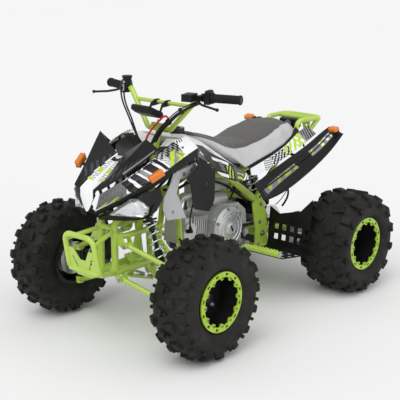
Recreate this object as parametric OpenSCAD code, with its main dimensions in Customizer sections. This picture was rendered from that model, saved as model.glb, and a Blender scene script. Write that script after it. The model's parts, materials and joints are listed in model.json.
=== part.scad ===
// Sport quad bike with a tube frame, double front arms, a swing arm and a solid rear axle.
// X points forward, Y to the rider's left and Z up. The origin is on the floor under the middle.

/* [Chassis] */
// Distance between the front and rear axles
wheelbase = 1020; // [980:5:1080]
// Front axle to the front of the bumper
front_overhang = 286; // [276:1:310]
// Distance between the middles of the front tyres
front_track = 806; // [790:2:860]
// Distance between the middles of the rear tyres
rear_track = 716; // [700:2:780]
// Outer diameter of the frame's main tubes
frame_tube_d = 28; // [24:1:30]
// Outer diameter of the light tubes, such as arms and bumper
light_tube_d = 22; // [18:1:25]

/* [Tyres and rims] */
// Front tyre diameter over the lugs
front_tyre_d = 483; // [470:1:495]
// Front tyre section width
front_tyre_w = 180; // [170:1:190]
// Rear tyre diameter over the lugs
rear_tyre_d = 458; // [446:1:470]
// Rear tyre section width
rear_tyre_w = 240; // [220:1:250]
// Height of the tread lugs
lug_h = 13; // [8:0.5:16]
// Rows of lugs round a front tyre
front_lug_rows = 16; // [14:1:18]
// Rows of lugs round a rear tyre
rear_lug_rows = 14; // [12:1:16]
// Bead seat diameter of the rims
rim_d = 203; // [198:1:208]
// Lobes and bolts on each bead ring
ring_lobes = 12; // [8:1:16]

/* [Steering] */
// Width over the grips
bar_w = 708; // [660:2:740]
// Height of the grips above the floor
grip_z = 958; // [940:1:980]
// Outer diameter of the handlebar
bar_d = 22; // [20:0.5:25]
// Diameter of the steering stem
stem_d = 26; // [22:1:30]
// Length across of each straight grip part of the handlebar
bar_straight = 169; // [165:1:180]

/* [Hidden] */

// Clearances: between pieces that touch, and between a turning piece and its neighbour.
seat_gap = 0.3;
run_gap = 0.08;
turn_gap = 6;
seam_gap = 2;

front_r = front_tyre_d / 2;
rear_r = rear_tyre_d / 2;
overall_length = rear_r + wheelbase + front_overhang;
rear_x = rear_r - overall_length / 2;
front_x = rear_x + wheelbase;
front_y = front_track / 2;
rear_y = rear_track / 2;

lime = [0.56, 0.78, 0.20];
black = [0.08, 0.08, 0.085];
white = [0.90, 0.90, 0.90];
grey = [0.35, 0.35, 0.35];
alloy = [0.66, 0.67, 0.68];
steel = [0.75, 0.76, 0.78];
rubber = [0.11, 0.11, 0.11];
amber = [0.95, 0.45, 0.05];

// Stations: a point measured from the front axle, from the rear axle, or on the main body, whose
// middle lies 510 behind the front axle. A longer wheelbase is a longer swing arm.
body_x = front_x - 510;
function F(x, y, z) = [front_x + x, y, z];
function R(x, y, z) = [rear_x + x, y, z];
function M(x, y, z) = [body_x + x, y, z];
function unit(v) = v / norm(v);
function flip(p) = [p[0], -p[1], p[2]];

module both_sides() {
  children();
  mirror([0, 1, 0]) children();
}

// Straight tube from p to q.
module tube(p, q, d) {
  v = q - p;
  translate(p)
    rotate([0, acos(v[2] / norm(v)), atan2(v[1], v[0])])
      cylinder(h = norm(v), d = d, $fn = 32);
}

// A bend of radius r at b: its start, its end, its two directions and its angle.
function corner(a, b, c, r) =
  let (u = unit(b - a), v = unit(c - b), turn = acos(u * v), s = r * tan(turn / 2))
  [b - s * u, b + s * v, u, unit(v - (v * u) * u), turn];

module bend(a, b, c, d, r) {
  k = corner(a, b, c, r);
  n = cross(k[2], k[3]);
  o = k[0] + r * k[3];
  multmatrix([[-k[3][0], k[2][0], n[0], o[0]], [-k[3][1], k[2][1], n[1], o[1]],
    [-k[3][2], k[2][2], n[2], o[2]], [0, 0, 0, 1]])
    rotate_extrude(angle = k[4], $fn = 96) translate([r, 0]) circle(d = d, $fn = 32);
}

// Tube along the points with its corners bent to radius r. The straights are a hair thicker and
// reach a little way over the bends.
joint_step = 0.2;
joint_reach = 0.5;
module bent_tube(p, d, r) {
  n = len(p);
  if (n > 2) for (i = [1:n - 2]) bend(p[i - 1], p[i], p[i + 1], d, r);
  for (i = [0:n - 2]) {
    u = unit(p[i + 1] - p[i]);
    s = i == 0 ? p[0] : corner(p[i - 1], p[i], p[i + 1], r)[1] - joint_reach * u;
    e = i == n - 2 ? p[n - 1] : corner(p[i], p[i + 1], p[i + 2], r)[0] + joint_reach * u;
    tube(s, e, d + joint_step);
  }
}

// What a piece that meets such a tube is cut with: its straights, from corner to corner.
module tube_cut(p, d) {
  for (i = [0:len(p) - 2]) tube(p[i], p[i + 1], d + joint_step + 2 * seat_gap);
}

// Bush: a drilled sleeve centred on p, along X or Y.
module bush_x(p, len, od, id) {
  translate(p) rotate([0, 90, 0]) difference() {
    cylinder(h = len, d = od, center = true, $fn = 32);
    cylinder(h = len + 2, d = id, center = true, $fn = 32);
  }
}

// Panel of thickness t on a grid of points. Rows go from rear to front, and each row runs from
// right to left or from top to bottom, so that the grid is the outer surface.
function clamped(i, n) = i < 0 ? 0 : i > n ? n : i;
function grid_normal(g, i, j) =
  let (n = len(g) - 1, m = len(g[0]) - 1,
       a = g[clamped(i + 1, n)][j] - g[clamped(i - 1, n)][j],
       b = g[i][clamped(j + 1, m)] - g[i][clamped(j - 1, m)])
  unit(cross(a, b));
function shifted(g, t) = [for (i = [0:len(g) - 1]) [for (j = [0:len(g[0]) - 1])
  g[i][j] + t * grid_normal(g, i, j)]];
function flat_list(g) = [for (row = g) each row];

module slab(inner, outer) {
  n = len(inner);
  m = len(inner[0]);
  k = n * m;
  function at(i, j) = i * m + j;
  skin_faces = [for (i = [0:n - 2]) for (j = [0:m - 2]) each [
    [at(i, j), at(i + 1, j), at(i + 1, j + 1)], [at(i, j), at(i + 1, j + 1), at(i, j + 1)],
    [k + at(i, j), k + at(i + 1, j + 1), k + at(i + 1, j)],
    [k + at(i, j), k + at(i, j + 1), k + at(i + 1, j + 1)]]];
  rim = concat(
    [for (j = [0:m - 1]) at(0, j)], [for (i = [1:n - 1]) at(i, m - 1)],
    [for (j = [m - 2:-1:0]) at(n - 1, j)], [for (i = [n - 2:-1:1]) at(i, 0)]);
  rim_faces = [for (i = [0:len(rim) - 1]) let (a = rim[i], b = rim[(i + 1) % len(rim)]) each [
    [a, b, b + k], [a, b + k, a + k]]];
  polyhedron(concat(flat_list(inner), flat_list(outer)), concat(skin_faces, rim_faces), convexity = 6);
}

module panel(g, t) { slab(shifted(g, -t), g); }

function rev(g) = [for (i = [len(g) - 1:-1:0]) g[i]];

// Full row from its left half, whose first point is on the middle plane.
function full_row(h) = concat([for (i = [len(h) - 1:-1:1]) flip(h[i])], h);

// Tyres.
tyre_wall = 9;
bead_d_gap = 0.4;
rim_r = rim_d / 2;
front_rim_hw = 74;
rear_rim_hw = 93;
flange_h = 11;
flange_t = 4;

function blunt(v, e) = sign(v) * pow(abs(v), e);
// Round-shouldered section at angle t: radius from the axle and distance from the middle.
function section_point(t, hw, hh, rm) = [rm + hh * blunt(sin(t), 0.62), hw * blunt(cos(t), 0.62)];

function tyre_profile(r, w, rim_hw) =
  let (top = r - lug_h, low = rim_r + 8, rm = (top + low) / 2, hh = (top - low) / 2, hw = w / 2 - 4,
       bead = rim_hw - flange_t - bead_d_gap, foot = rim_r + bead_d_gap)
  concat(
    [[foot, bead]],
    [[rim_r + flange_h + 1.5, bead]],
    [for (t = [-42:18:222]) section_point(t, hw, hh, rm)],
    [[rim_r + flange_h + 1.5, -bead], [foot, -bead], [foot, -bead + 14]],
    [for (t = [218:-19:-38]) section_point(t, hw - tyre_wall, hh - tyre_wall, rm)],
    [[foot, bead - 14]]);

// One lug, sunk into the carcass: a block with a pointed leading side.
module lug(angle, y, l, w, reach, skew, tilt) {
  rotate([0, angle, 0]) translate([0, y, reach - lug_h - 9]) rotate([-tilt, 0, 0]) rotate([0, 0, skew])
      linear_extrude(lug_h + 9) polygon([[-l / 2, -w / 2], [l / 2, -w / 2 + 5], [l / 2 + 5, 0],
        [l / 2, w / 2 - 5], [-l / 2, w / 2]]);
}

module front_tyre() {
  color(rubber) {
    rotate([90, 0, 0]) rotate_extrude($fn = 96)
      polygon(tyre_profile(front_r, front_tyre_w, front_rim_hw));
    pitch = 360 / front_lug_rows;
    for (k = [0:front_lug_rows - 1], s = [-1, 1]) {
      a = k * pitch + (s > 0 ? pitch / 2 : 0);
      lug(a, s * front_tyre_w * 0.14, 34, 34, front_r, 14 * s, 0);
      lug(a + pitch / 2, s * front_tyre_w * 0.355, 36, 30, front_r - 10, -8 * s, 25 * s);
    }
  }
}

module rear_tyre() {
  color(rubber) {
    rotate([90, 0, 0]) rotate_extrude($fn = 96)
      polygon(tyre_profile(rear_r, rear_tyre_w, rear_rim_hw));
    pitch = 360 / rear_lug_rows;
    for (k = [0:rear_lug_rows - 1], s = [-1, 1]) {
      a = k * pitch + (s > 0 ? pitch / 2 : 0);
      lug(a, s * rear_tyre_w * 0.16, 38, 62, rear_r, 26 * s, 0);
      lug(a + pitch * 0.4, s * rear_tyre_w * 0.365, 40, 44, rear_r - 9, 12 * s, 19 * s);
    }
  }
}

// Rim: barrel, two flanges and a deep dish, revolved about its axle. side is 1 for the outer side at +Y.
dish_t = 5;
hub_bore_r = 42;
lug_pcd = 110;
module rim(hw, dish_y) {
  color(black) difference() {
    rotate([90, 0, 0]) rotate_extrude($fn = 96) {
      difference() {
        union() {
          translate([rim_r - 4, -hw]) square([4, 2 * hw]);
          translate([rim_r - 4, hw - flange_t]) square([4 + flange_h, flange_t]);
          translate([rim_r - 4, -hw]) square([4 + flange_h, flange_t]);
          translate([hub_bore_r, -dish_y - dish_t]) square([rim_r - 2 - hub_bore_r, dish_t]);
        }
      }
    }
    for (a = [45:90:315]) rotate([0, a, 0]) translate([lug_pcd / 2, dish_y + dish_t / 2, 0])
      rotate([90, 0, 0]) cylinder(h = 3 * dish_t, r = 5.3, center = true, $fn = 24);
  }
}

// Bead ring: a lime ring with inward lobes, each with a bolt, and a window between each two lobes.
ring_t = 6;
ring_r = 117.5;
module bead_ring(y) {
  step = 360 / ring_lobes;
  color(lime) translate([0, y, 0]) rotate([90, 0, 0]) translate([0, 0, -ring_t]) difference() {
    union() {
      linear_extrude(ring_t) difference() {
        union() {
          difference() {
            circle(r = ring_r, $fn = 96);
            circle(r = rim_r - 4, $fn = 96);
          }
          for (k = [0:ring_lobes - 1]) rotate(k * step) polygon([[rim_r, -15], [rim_r - 13, -7],
            [rim_r - 16, 0], [rim_r - 13, 7], [rim_r, 15]]);
        }
        for (k = [0:ring_lobes - 1]) rotate((k + 0.5) * step) polygon([[rim_r + 1, -6],
          [rim_r + 11, -9], [rim_r + 11, 9], [rim_r + 1, 6]]);
      }
      for (k = [0:ring_lobes - 1]) rotate(k * step) translate([rim_r - 6, 0, -4])
        cylinder(h = 5, r = 5, $fn = 6);
    }
  }
}

// Front axle. The kingpin stands upright, inboard of the tyre.
spindle_d = 20;
kingpin_y = front_y - 99;
kingpin_d = 16;
pillar_low = front_r - 69.5;
pillar_high = front_r + 44.5;
front_dish_y = -15;
rear_dish_y = -10;
disc_d = 140;
disc_t = 4;

// Front hub on the spindle, its outer side at +Y: drum, flange with studs and nuts, brake disc.
module front_hub() {
  d = front_dish_y;
  color(steel) difference() {
    union() {
      translate([0, d + dish_t + 16, 0]) rotate([90, 0, 0]) cylinder(h = 66 + dish_t, r = 26, $fn = 48);
      translate([0, d - seat_gap, 0]) rotate([90, 0, 0]) cylinder(h = 7, r = 66, $fn = 48);
      translate([0, d - 44, 0]) rotate([90, 0, 0]) cylinder(h = disc_t, r = disc_d / 2, $fn = 64);
      for (a = [45:90:315]) rotate([0, a, 0]) translate([lug_pcd / 2, d + dish_t + 14, 0])
        rotate([90, 0, 0]) cylinder(h = 20 + dish_t, r = 5, $fn = 24);
      for (a = [45:90:315]) rotate([0, a, 0]) translate([lug_pcd / 2, d + dish_t + 8.3, 0])
        rotate([90, 0, 0]) cylinder(h = 8, r = 9, $fn = 6);
    }
    translate([0, d + 8, 0]) rotate([90, 0, 0]) cylinder(h = 90, r = spindle_d / 2 + run_gap, $fn = 48);
  }
}

// Steering. The stem leans back; its axis passes through stem_top and stem_foot. The steering
// arms and the drop arm are of one length, so that each tie rod moves almost without turning.
stem_top = M(335, 0, 805);
bar_base = M(335, 60, 815);
bar_bend = M(303, bar_w / 2 - bar_straight, grip_z - 1);
bar_end = M(255, bar_w / 2, grip_z);
cross_bar = bar_base + 0.73 * (bar_bend - bar_base);
cross_d = 16;
stem_foot = M(512.2, 0, 242);
stem_dir = unit(stem_top - stem_foot);
stem_rake = atan2(stem_top[0] - stem_foot[0], stem_top[2] - stem_foot[2]);
arm_len = 95;
drop_pin_y = 22;
arm_z = front_r - 40;
rod_end_y = kingpin_y - 14;
knuckle_eye = F(-arm_len, rod_end_y, arm_z);
rod_lift = 6;
rod_d = 12;
drop_dir = [-stem_dir[2], 0, stem_dir[0]];
drop_pin = stem_foot + arm_len * drop_dir + [0, drop_pin_y, 0];

module knuckle() {
  c = F(0, kingpin_y, front_r);
  inner = front_y + front_dish_y - 50 - turn_gap;
  color(black) difference() {
    union() {
      tube(F(0, kingpin_y, pillar_low), F(0, kingpin_y, pillar_high), 34);
      tube(F(0, kingpin_y, pillar_low - 30), F(0, kingpin_y, pillar_high + 28), kingpin_d);
      tube(c, F(0, inner, front_r), 42);
      tube(F(0, kingpin_y, arm_z), knuckle_eye, 16);
      translate(knuckle_eye) cylinder(h = 16, d = 28, center = true, $fn = 32);
      tube(c, F(-72, inner + 4, front_r), 16);
      translate(F(-86, inner - 4, front_r - 26)) cube([36, 32, 52]);
    }
    translate(F(0, front_y + front_dish_y - 53, front_r)) rotate([-90, 0, 0])
      cylinder(h = disc_t + 10, r = disc_d / 2 + 4, $fn = 64);
  }
  color(steel) tube(F(0, inner - 4, front_r), F(0, front_y + front_dish_y + 2, front_r), spindle_d);
}

// Tie rod: an eye on the drop arm's pin, a rod, and an outer head held open above the steering arm.
module tie_rod() {
  a = drop_pin + 7.3 * stem_dir;
  b = knuckle_eye + [0, 0, 8 + rod_lift + 9];
  color(steel) difference() {
    union() {
      translate(a) rotate([0, stem_rake, 0]) cylinder(h = 10, d = 22, center = true, $fn = 32);
      tube(a + stem_dir, b, rod_d);
      translate(b) cylinder(h = 18, d = 26, center = true, $fn = 32);
    }
    translate(a) rotate([0, stem_rake, 0]) cylinder(h = 40, r = 5 + run_gap, center = true, $fn = 32);
  }
}

module handlebar() {
  color(lime) union() {
    for (s = [-1, 1])
      bent_tube([side(bar_base, 0), side(bar_base, s), side(bar_bend, s),
        side(bar_end - [0, 1, 0], s)], bar_d, 30);
    tube(side(cross_bar, -1), cross_bar, cross_d);
    translate(M(332, 0, 820)) rotate([0, stem_rake, 0]) cube([36, 66, 32], center = true);
    tube(stem_top + 10 * stem_dir, stem_foot - 6 * stem_dir, stem_d);
    // Drop arm with the tie rods' pins.
    translate(stem_foot) rotate([0, stem_rake, 0]) {
      translate([0, 0, -6]) cylinder(h = 8, d = 48, $fn = 40);
      translate([0, 0, -6]) linear_extrude(8) polygon([[0, -22], [0, 22], [-arm_len, 36],
        [-arm_len - 14, 30], [-arm_len - 14, -30], [-arm_len, -36]]);
      for (s = [-1, 1]) translate([-arm_len, s * drop_pin_y, 0]) cylinder(h = 13.5, d = 10, $fn = 32);
    }
  }
}

module grips() {
  color(rubber) for (s = [-1, 1]) difference() {
    e = side(bar_end, s);
    b = side(bar_bend, s);
    u = unit(e - b);
    union() {
      tube(e - 118 * u, e + 3 * u, 33);
      tube(e - 118 * u, e - 112 * u, 42);
      tube(e - 4 * u, e + 3 * u, 38);
      for (k = [1:9]) tube(e - (8 + 11 * k) * u, e - (3 + 11 * k) * u, 35);
    }
    tube(b, e + 0.3 * u, bar_d + joint_step + 2 * seat_gap);
  }
}

function bar_at(s, k) = side(bar_end, s) + k * unit(side(bar_bend, s) - side(bar_end, s));

// Switch housings, brake levers with their clamps, and the fluid boxes.
lever_tip = [112, 0, -24];
module controls() {
  color(black) for (s = [-1, 1]) difference() {
    union() {
      tube(bar_at(s, 121), bar_at(s, 145), 44);
      translate(bar_at(s, 133) + [0, 0, -2]) rotate([0, 0, s * 16]) cube([46, 23, 42], center = true);
      tube(bar_at(s, 144), bar_at(s, 161), 34);
      translate(bar_at(s, 153) + [22, 0, 2]) rotate([0, 0, s * 16]) cube([40, 16, 20], center = true);
      if (s > 0) {
        translate(bar_at(s, 153) + [67, -17, 7]) rotate([0, 0, 16]) cube([58, 42, 26], center = true);
      } else {
        translate(bar_at(s, 153) + [8, 0, 8]) cylinder(h = 34, d = 36, $fn = 40);
        translate(bar_at(s, 153) + [8, 0, 40]) cylinder(h = 9, d = 42, $fn = 40);
      }
      bent_tube([bar_at(s, 156) + [34, 0, 2], bar_at(s, 138) + [62, 0, -6],
        bar_at(s, 100) + [86, 0, -14], bar_at(s, 20) + lever_tip], 9, 20);
      translate(bar_at(s, 18) + lever_tip) sphere(d = 14, $fn = 24);
    }
    tube(bar_at(s, 60), bar_at(s, 180), bar_d + joint_step + 2 * seat_gap);
  }
}

// Display pod ahead of the bars, tipped towards the rider on two stays from the crossbar.
pod_middle = [90, 0, -25];
pod_tilt = 25;
pod_w = 92;
module display() {
  color(black) difference() {
    union() {
      translate(side(cross_bar, 0) + pod_middle) rotate([0, -pod_tilt, 0]) rotate([90, 0, 0])
        linear_extrude(pod_w, center = true) polygon([[-47, -9], [-47, 3], [-38, 13], [42, 13],
          [50, 5], [45, -9], [20, -14], [-30, -14]]);
      for (y = [-34, 26]) translate(side(cross_bar, 0) + [0, y, 0]) rotate([90, 0, 0])
        translate([0, 0, -8]) linear_extrude(8) polygon([[-10, -11], [-10, 11], [12, 12],
          [36, -1], [50, -30], [64, -42], [54, -50], [37, -14], [14, -13]]);
    }
    tube(side(cross_bar, -1), cross_bar, cross_d + 2 * seat_gap);
    translate(side(cross_bar, 0) + pod_middle) rotate([0, -pod_tilt, 0])
      translate([-37, 3 - pod_w / 2, 7]) cube([74, pod_w - 6, 30]);
  }
  color(grey) translate(side(cross_bar, 0) + pod_middle) rotate([0, -pod_tilt, 0])
    translate([seat_gap - 37, 3 + seat_gap - pod_w / 2, 7 + seat_gap])
      cube([74 - 2 * seat_gap, pod_w - 6 - 2 * seat_gap, 4]);
}

// Cables from the controls down to the front cover, held along their whole length.
module cables() {
  color(black) {
    bent_tube([bar_at(-1, 153) + [30, 2, -11.6], M(372, -160, 915), M(396, -100, 872),
      M(424, -50, 826), M(430, -20, 780), M(408, -20, 742)], 7, 22);
    bent_tube([bar_at(-1, 153) + [46.2, 1, 8], M(400, -150, 930), M(424, -90, 885),
      M(440, -44, 830), M(438, -14, 784), M(420, -10, 742)], 7, 22);
    bent_tube([bar_at(1, 153) + [24, 0, -12.3], M(360, 130, 900), M(372, 60, 840),
      M(404, 26, 790), M(408, 20, 742)], 9, 24);
  }
}

// Frame.
rail_y = 92;
rail_z = 212;
front_rail_y = 39;
front_rail_z = 290;
top_y = 84;
plate_y = 97;
pivot_x = -215;
pivot_z = 276;
function side(p, s) = [p[0], s * p[1], p[2]];
lower_rail = [M(640, front_rail_y, front_rail_z), M(400, front_rail_y, front_rail_z),
  M(290, rail_y, rail_z), M(-250, rail_y, rail_z)];
top_rail = [M(632, front_rail_y, front_rail_z), M(632, front_rail_y, 490), M(560, 60, 545),
  M(400, top_y, 590), M(230, top_y, 630), M(20, top_y, 580), M(-195, top_y, 425)];

module yz_plate(x, t, pts) {
  translate([x - t / 2, 0, 0]) rotate([90, 0, 90]) linear_extrude(t) polygon(pts);
}
module xz_plate(y, t, pts) {
  translate([0, y + t / 2, 0]) rotate([90, 0, 0]) linear_extrude(t) polygon(pts);
}
function MX(pts) = [for (p = pts) [M(p[0], 0, 0)[0], p[1]]];

arm_x = [610, 446];
low_y = 54;
low_z = 262;
high_y = 87;
high_z = 406;
shock_x = 520;
shock_top = [shock_x, 112, 520];
shock_foot_y = 226;
shock_share = (shock_foot_y - low_y) / (kingpin_y - low_y);
shock_foot = [shock_x, shock_foot_y, low_z + shock_share * (pillar_low - 21 - low_z) + 26.4];
bush_len = 34;

module frame_rails() {
  color(lime) both_sides() difference() {
    union() {
      bent_tube(lower_rail, frame_tube_d, 50);
      bent_tube(top_rail, frame_tube_d, 40);
      // Rail for the upper arms, and the down tube.
      bent_tube([M(632, front_rail_y, 440), M(604, 68, 440), M(404, 68, 440), M(400, top_y, 590)], 24, 22);
      tube(M(404, 66, 436), M(408, front_rail_y, front_rail_z), 22);
      tube(M(300, rail_y, rail_z), M(330, top_y, 604), 24);
      for (x = arm_x, e = [-1, 1]) {
        xx = M(x + e * (bush_len / 2 + 2.3), 0, 0)[0];
        yz_plate(xx, 4, [[32, front_rail_z - 6], [50, front_rail_z + 4], [68, low_z],
          [54, low_z - 12], [40, low_z]]);
        root = x == arm_x[0] && e > 0 ? 38 : 62;
        yz_plate(xx, 4, [[root, 446], [78, 446], [101, high_z], [87, high_z - 14], [root + 8, high_z + 6]]);
      }
      for (e = [-1, 1]) yz_plate(M(shock_x + e * 17.3, 0, 0)[0], 5, [[58, 566], [74, 566],
        [126, 524], [120, 506], [104, 506], [60, 548]]);
      // Side plate with the swing arm's pivot.
      xz_plate(plate_y, 6, MX([[-262, 196], [-170, 196], [-172, 300], [-150, 420], [-176, 448],
        [-225, 430], [-250, 330]]));
    }
    translate(M(pivot_x, plate_y, pivot_z)) rotate([90, 0, 0])
      cylinder(h = 12, r = 10 + run_gap, center = true, $fn = 40);
  }
}
module frame_braces() {
  color(lime) difference() {
    union() {
      for (x = [596, 450]) tube(M(x, -front_rail_y, front_rail_z), M(x, front_rail_y, front_rail_z), 22);
      tube(M(632, -front_rail_y, 470), M(632, front_rail_y, 470), 24);
      tube(M(255, -rail_y, rail_z), M(255, rail_y, rail_z), 22);
      tube(M(-206, -rail_y, rail_z), M(-206, rail_y, rail_z), 22);
      tube(M(45, -top_y, 586), M(45, top_y, 586), 22);
      tube(M(-182, -top_y, 434), M(-182, top_y, 434), 22);
      // Collars of the steering stem, with their stays.
      tube(stem_foot + 57 * stem_dir, stem_foot + 89 * stem_dir, 48);
      translate(M(490, 0, 310)) cube([30, 2 * front_rail_y, 20], center = true);
      tube(stem_foot + 357 * stem_dir, stem_foot + 389 * stem_dir, 48);
      translate(M(420, 0, 588)) cube([26, 2 * top_y, 12], center = true);
      // Skid plate that takes a jack.
      translate(M(-80, -rail_y, rail_z - 20)) cube([200, 2 * rail_y, 5]);
      translate(M(-80, -rail_y, rail_z - 20)) cube([200, 12, 14]);
      translate(M(-80, rail_y - 12, rail_z - 20)) cube([200, 12, 14]);
    }
    translate(stem_foot - 20 * stem_dir) rotate([0, stem_rake, 0])
      cylinder(h = 600, r = stem_d / 2 + run_gap, $fn = 48);
    both_sides() {
      tube_cut([M(620, front_rail_y, front_rail_z), lower_rail[1]], frame_tube_d);
      tube_cut([lower_rail[2], lower_rail[3]], frame_tube_d);
      tube_cut([M(632, front_rail_y, 440), M(632, front_rail_y, 492)], frame_tube_d);
      tube_cut([top_rail[3] + 0.02 * (top_rail[2] - top_rail[3]),
        top_rail[3] + 0.6 * (top_rail[2] - top_rail[3])], frame_tube_d);
      tube_cut([top_rail[5] + 0.35 * (top_rail[4] - top_rail[5]),
        top_rail[5] + 0.02 * (top_rail[4] - top_rail[5])], frame_tube_d);
      tube_cut([top_rail[5] + 0.6 * (top_rail[6] - top_rail[5]), top_rail[6]], frame_tube_d);
    }
  }
}

seat_rail = [M(-14, top_y, 572), M(-190, 78, 594), M(-400, 78, 640), M(-575, 78, 668)];
module seat_frame() {
  color(lime) difference() {
    union() {
      for (s = [-1, 1]) {
        bent_tube([for (p = seat_rail) side(p, s)], 25, 60);
        tube(M(-190, s * top_y, 440), M(-420, s * 78, 645), 22);
      }
      tube(M(-190, -78, 594), M(-190, 78, 594), 25);
      tube(M(-560, -78, 665), M(-560, 78, 665), 22);
      tube(M(-420, -78, 643), M(-420, 78, 643), 22);
      for (y = [-18, 14]) xz_plate(y + 2, 4, MX([[-200, 600], [-182, 590], [-232, 552], [-250, 566]]));
    }
    for (s = [-1, 1]) tube_cut([for (i = [5:6]) side(top_rail[i], s)], frame_tube_d);
    tube(M(-182, -top_y, 434), M(-182, top_y, 434), 22 + 2 * seat_gap);
    for (s = [-1, 1]) xz_plate(s * plate_y, 6 + 2 * seat_gap, MX([[-300, 190], [-150, 190],
      [-140, 450], [-270, 450]]));
  }
}

// Bumper: a hoop ahead of the frame with a notched plate and two stays.
hoop_x = 510 + front_overhang - light_tube_d / 2;
hoop_lean = atan2(30, 146);
module bumper() {
  color(lime) difference() {
    union() {
      bent_tube([M(634, 39, front_rail_z), M(hoop_x - 30, 84, 318), M(hoop_x, 78, 467),
        M(hoop_x, -78, 467), M(hoop_x - 30, -84, 318), M(634, -39, front_rail_z)], light_tube_d, 34);
      tube(M(hoop_x - 30, -80, 320), M(hoop_x - 30, 80, 320), light_tube_d);
      for (s = [-1, 1]) tube(M(hoop_x - 6, s * 80, 440), M(640, s * front_rail_y, 462), light_tube_d - 4);
      translate(M(hoop_x - 30, 0, 320)) rotate([0, hoop_lean, 0]) rotate([90, 0, 90])
        translate([0, 0, -2]) linear_extrude(5) difference() {
          polygon([[-78, 0], [-40, -22], [40, -22], [78, 0], [76, 92], [44, 92], [16, 46], [-16, 46],
            [-44, 92], [-76, 92]]);
          for (s = [-1, 1]) polygon([[s * 22, 4], [s * 34, 4], [s * 58, 56], [s * 50, 60]]);
        }
    }
    for (s = [-1, 1]) {
      tube_cut([M(500, s * front_rail_y, front_rail_z), M(640.3, s * front_rail_y, front_rail_z)],
        frame_tube_d);
      tube_cut([M(632, s * front_rail_y, 200), M(632, s * front_rail_y, 500)], frame_tube_d);
    }
  }
}

// Rack behind the seat, with a drilled tab.
module rack() {
  color(lime) difference() {
    union() {
      bent_tube([M(-478, 78, 655), M(-486, 86, 742), M(-649, 101, 737), M(-649, -101, 737),
        M(-486, -86, 742), M(-478, -78, 655)], light_tube_d, 30);
      for (s = [-1, 1]) tube(M(-636, s * 98, 738), M(-566, s * 78, 664), light_tube_d);
      tube(M(-590, -94, 738), M(-590, 94, 738), light_tube_d);
      yz_plate(M(-590, 0, 0)[0], 5, [[30, 738], [84, 738], [76, 696], [60, 684], [46, 690]]);
    }
    translate(M(-590, 62, 704)) rotate([0, 90, 0]) cylinder(h = 30, r = 6, center = true, $fn = 40);
    for (s = [-1, 1]) tube_cut([side(seat_rail[2], s), side(seat_rail[3], s)], 25);
    for (s = [-1, 1]) translate(M(-640, s * 78 - 18, 600)) cube([65.3, 36, 76]);
  }
}

// Front arms. Each ends in a sleeve round the kingpin.
module sleeve(z, h) {
  translate(F(0, kingpin_y, z)) cylinder(h = h, d = 34, $fn = 40);
}
module kingpin_bore() {
  translate(F(0, kingpin_y, 60)) cylinder(h = 400, r = kingpin_d / 2 + run_gap, $fn = 40);
}
module lower_arms() {
  z0 = pillar_low - 30;
  end = F(0, kingpin_y, z0 + 9);
  color(lime) both_sides() difference() {
    union() {
      for (x = arm_x) {
        tube(M(x - bush_len / 2, low_y, low_z), M(x + bush_len / 2, low_y, low_z), 24);
        tube(M(x, low_y, low_z), end, light_tube_d);
      }
      sleeve(z0, 28);
      k = shock_share;
      tube(M(arm_x[0], low_y, low_z) * (1 - k) + end * k,
        M(arm_x[1], low_y, low_z) * (1 - k) + end * k, light_tube_d);
      q = M(shock_x, 0, 0)[0];
      for (e = [-1, 1]) yz_plate(q + e * 16.3, 4, [[shock_foot[1] - 16, shock_foot[2] - 26],
        [shock_foot[1] + 16, shock_foot[2] - 34], [shock_foot[1] + 14, shock_foot[2] + 8],
        [shock_foot[1] - 2, shock_foot[2] + 14], [shock_foot[1] - 14, shock_foot[2] + 6]]);
    }
    kingpin_bore();
    translate([M(shock_x - 14.3, 0, 0)[0], shock_foot[1] - 20, shock_foot[2] - 20]) cube([28.6, 40, 44]);
  }
}
module upper_arms() {
  z0 = pillar_high + 1.5;
  end = F(0, kingpin_y, z0 + 12);
  color(lime) both_sides() difference() {
    union() {
      for (x = arm_x) {
        tube(M(x - bush_len / 2, high_y, high_z), M(x + bush_len / 2, high_y, high_z), 24);
        tube(M(x, high_y, high_z), end, 20);
      }
      sleeve(z0, 24);
    }
    kingpin_bore();
  }
}

// Coil of n turns on the line from p to q, wire diameter w and mean radius r.
module coil(p, q, r, w, n) {
  v = q - p;
  h = norm(v);
  steps = 12;
  total = n * steps;
  ring = [for (k = [0:5]) [cos(60 * k), sin(60 * k)]];
  pts = [for (i = [0:total]) let (a = 360 * i / steps, z = w / 2 + (h - w) * i / total)
    each [for (c = ring) let (rr = r + w / 2 * c[0]) [rr * cos(a), rr * sin(a), z + w / 2 * c[1]]]];
  walls = [for (i = [0:total - 1]) for (k = [0:5]) let (m = (k + 1) % 6) each [
    [i * 6 + k, (i + 1) * 6 + k, (i + 1) * 6 + m], [i * 6 + k, (i + 1) * 6 + m, i * 6 + m]]];
  caps = [[for (k = [0:5]) k], [for (k = [5:-1:0]) total * 6 + k]];
  translate(p) rotate([0, acos(v[2] / h), atan2(v[1], v[0])])
    polyhedron(pts, concat(walls, caps), convexity = 10);
}

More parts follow.
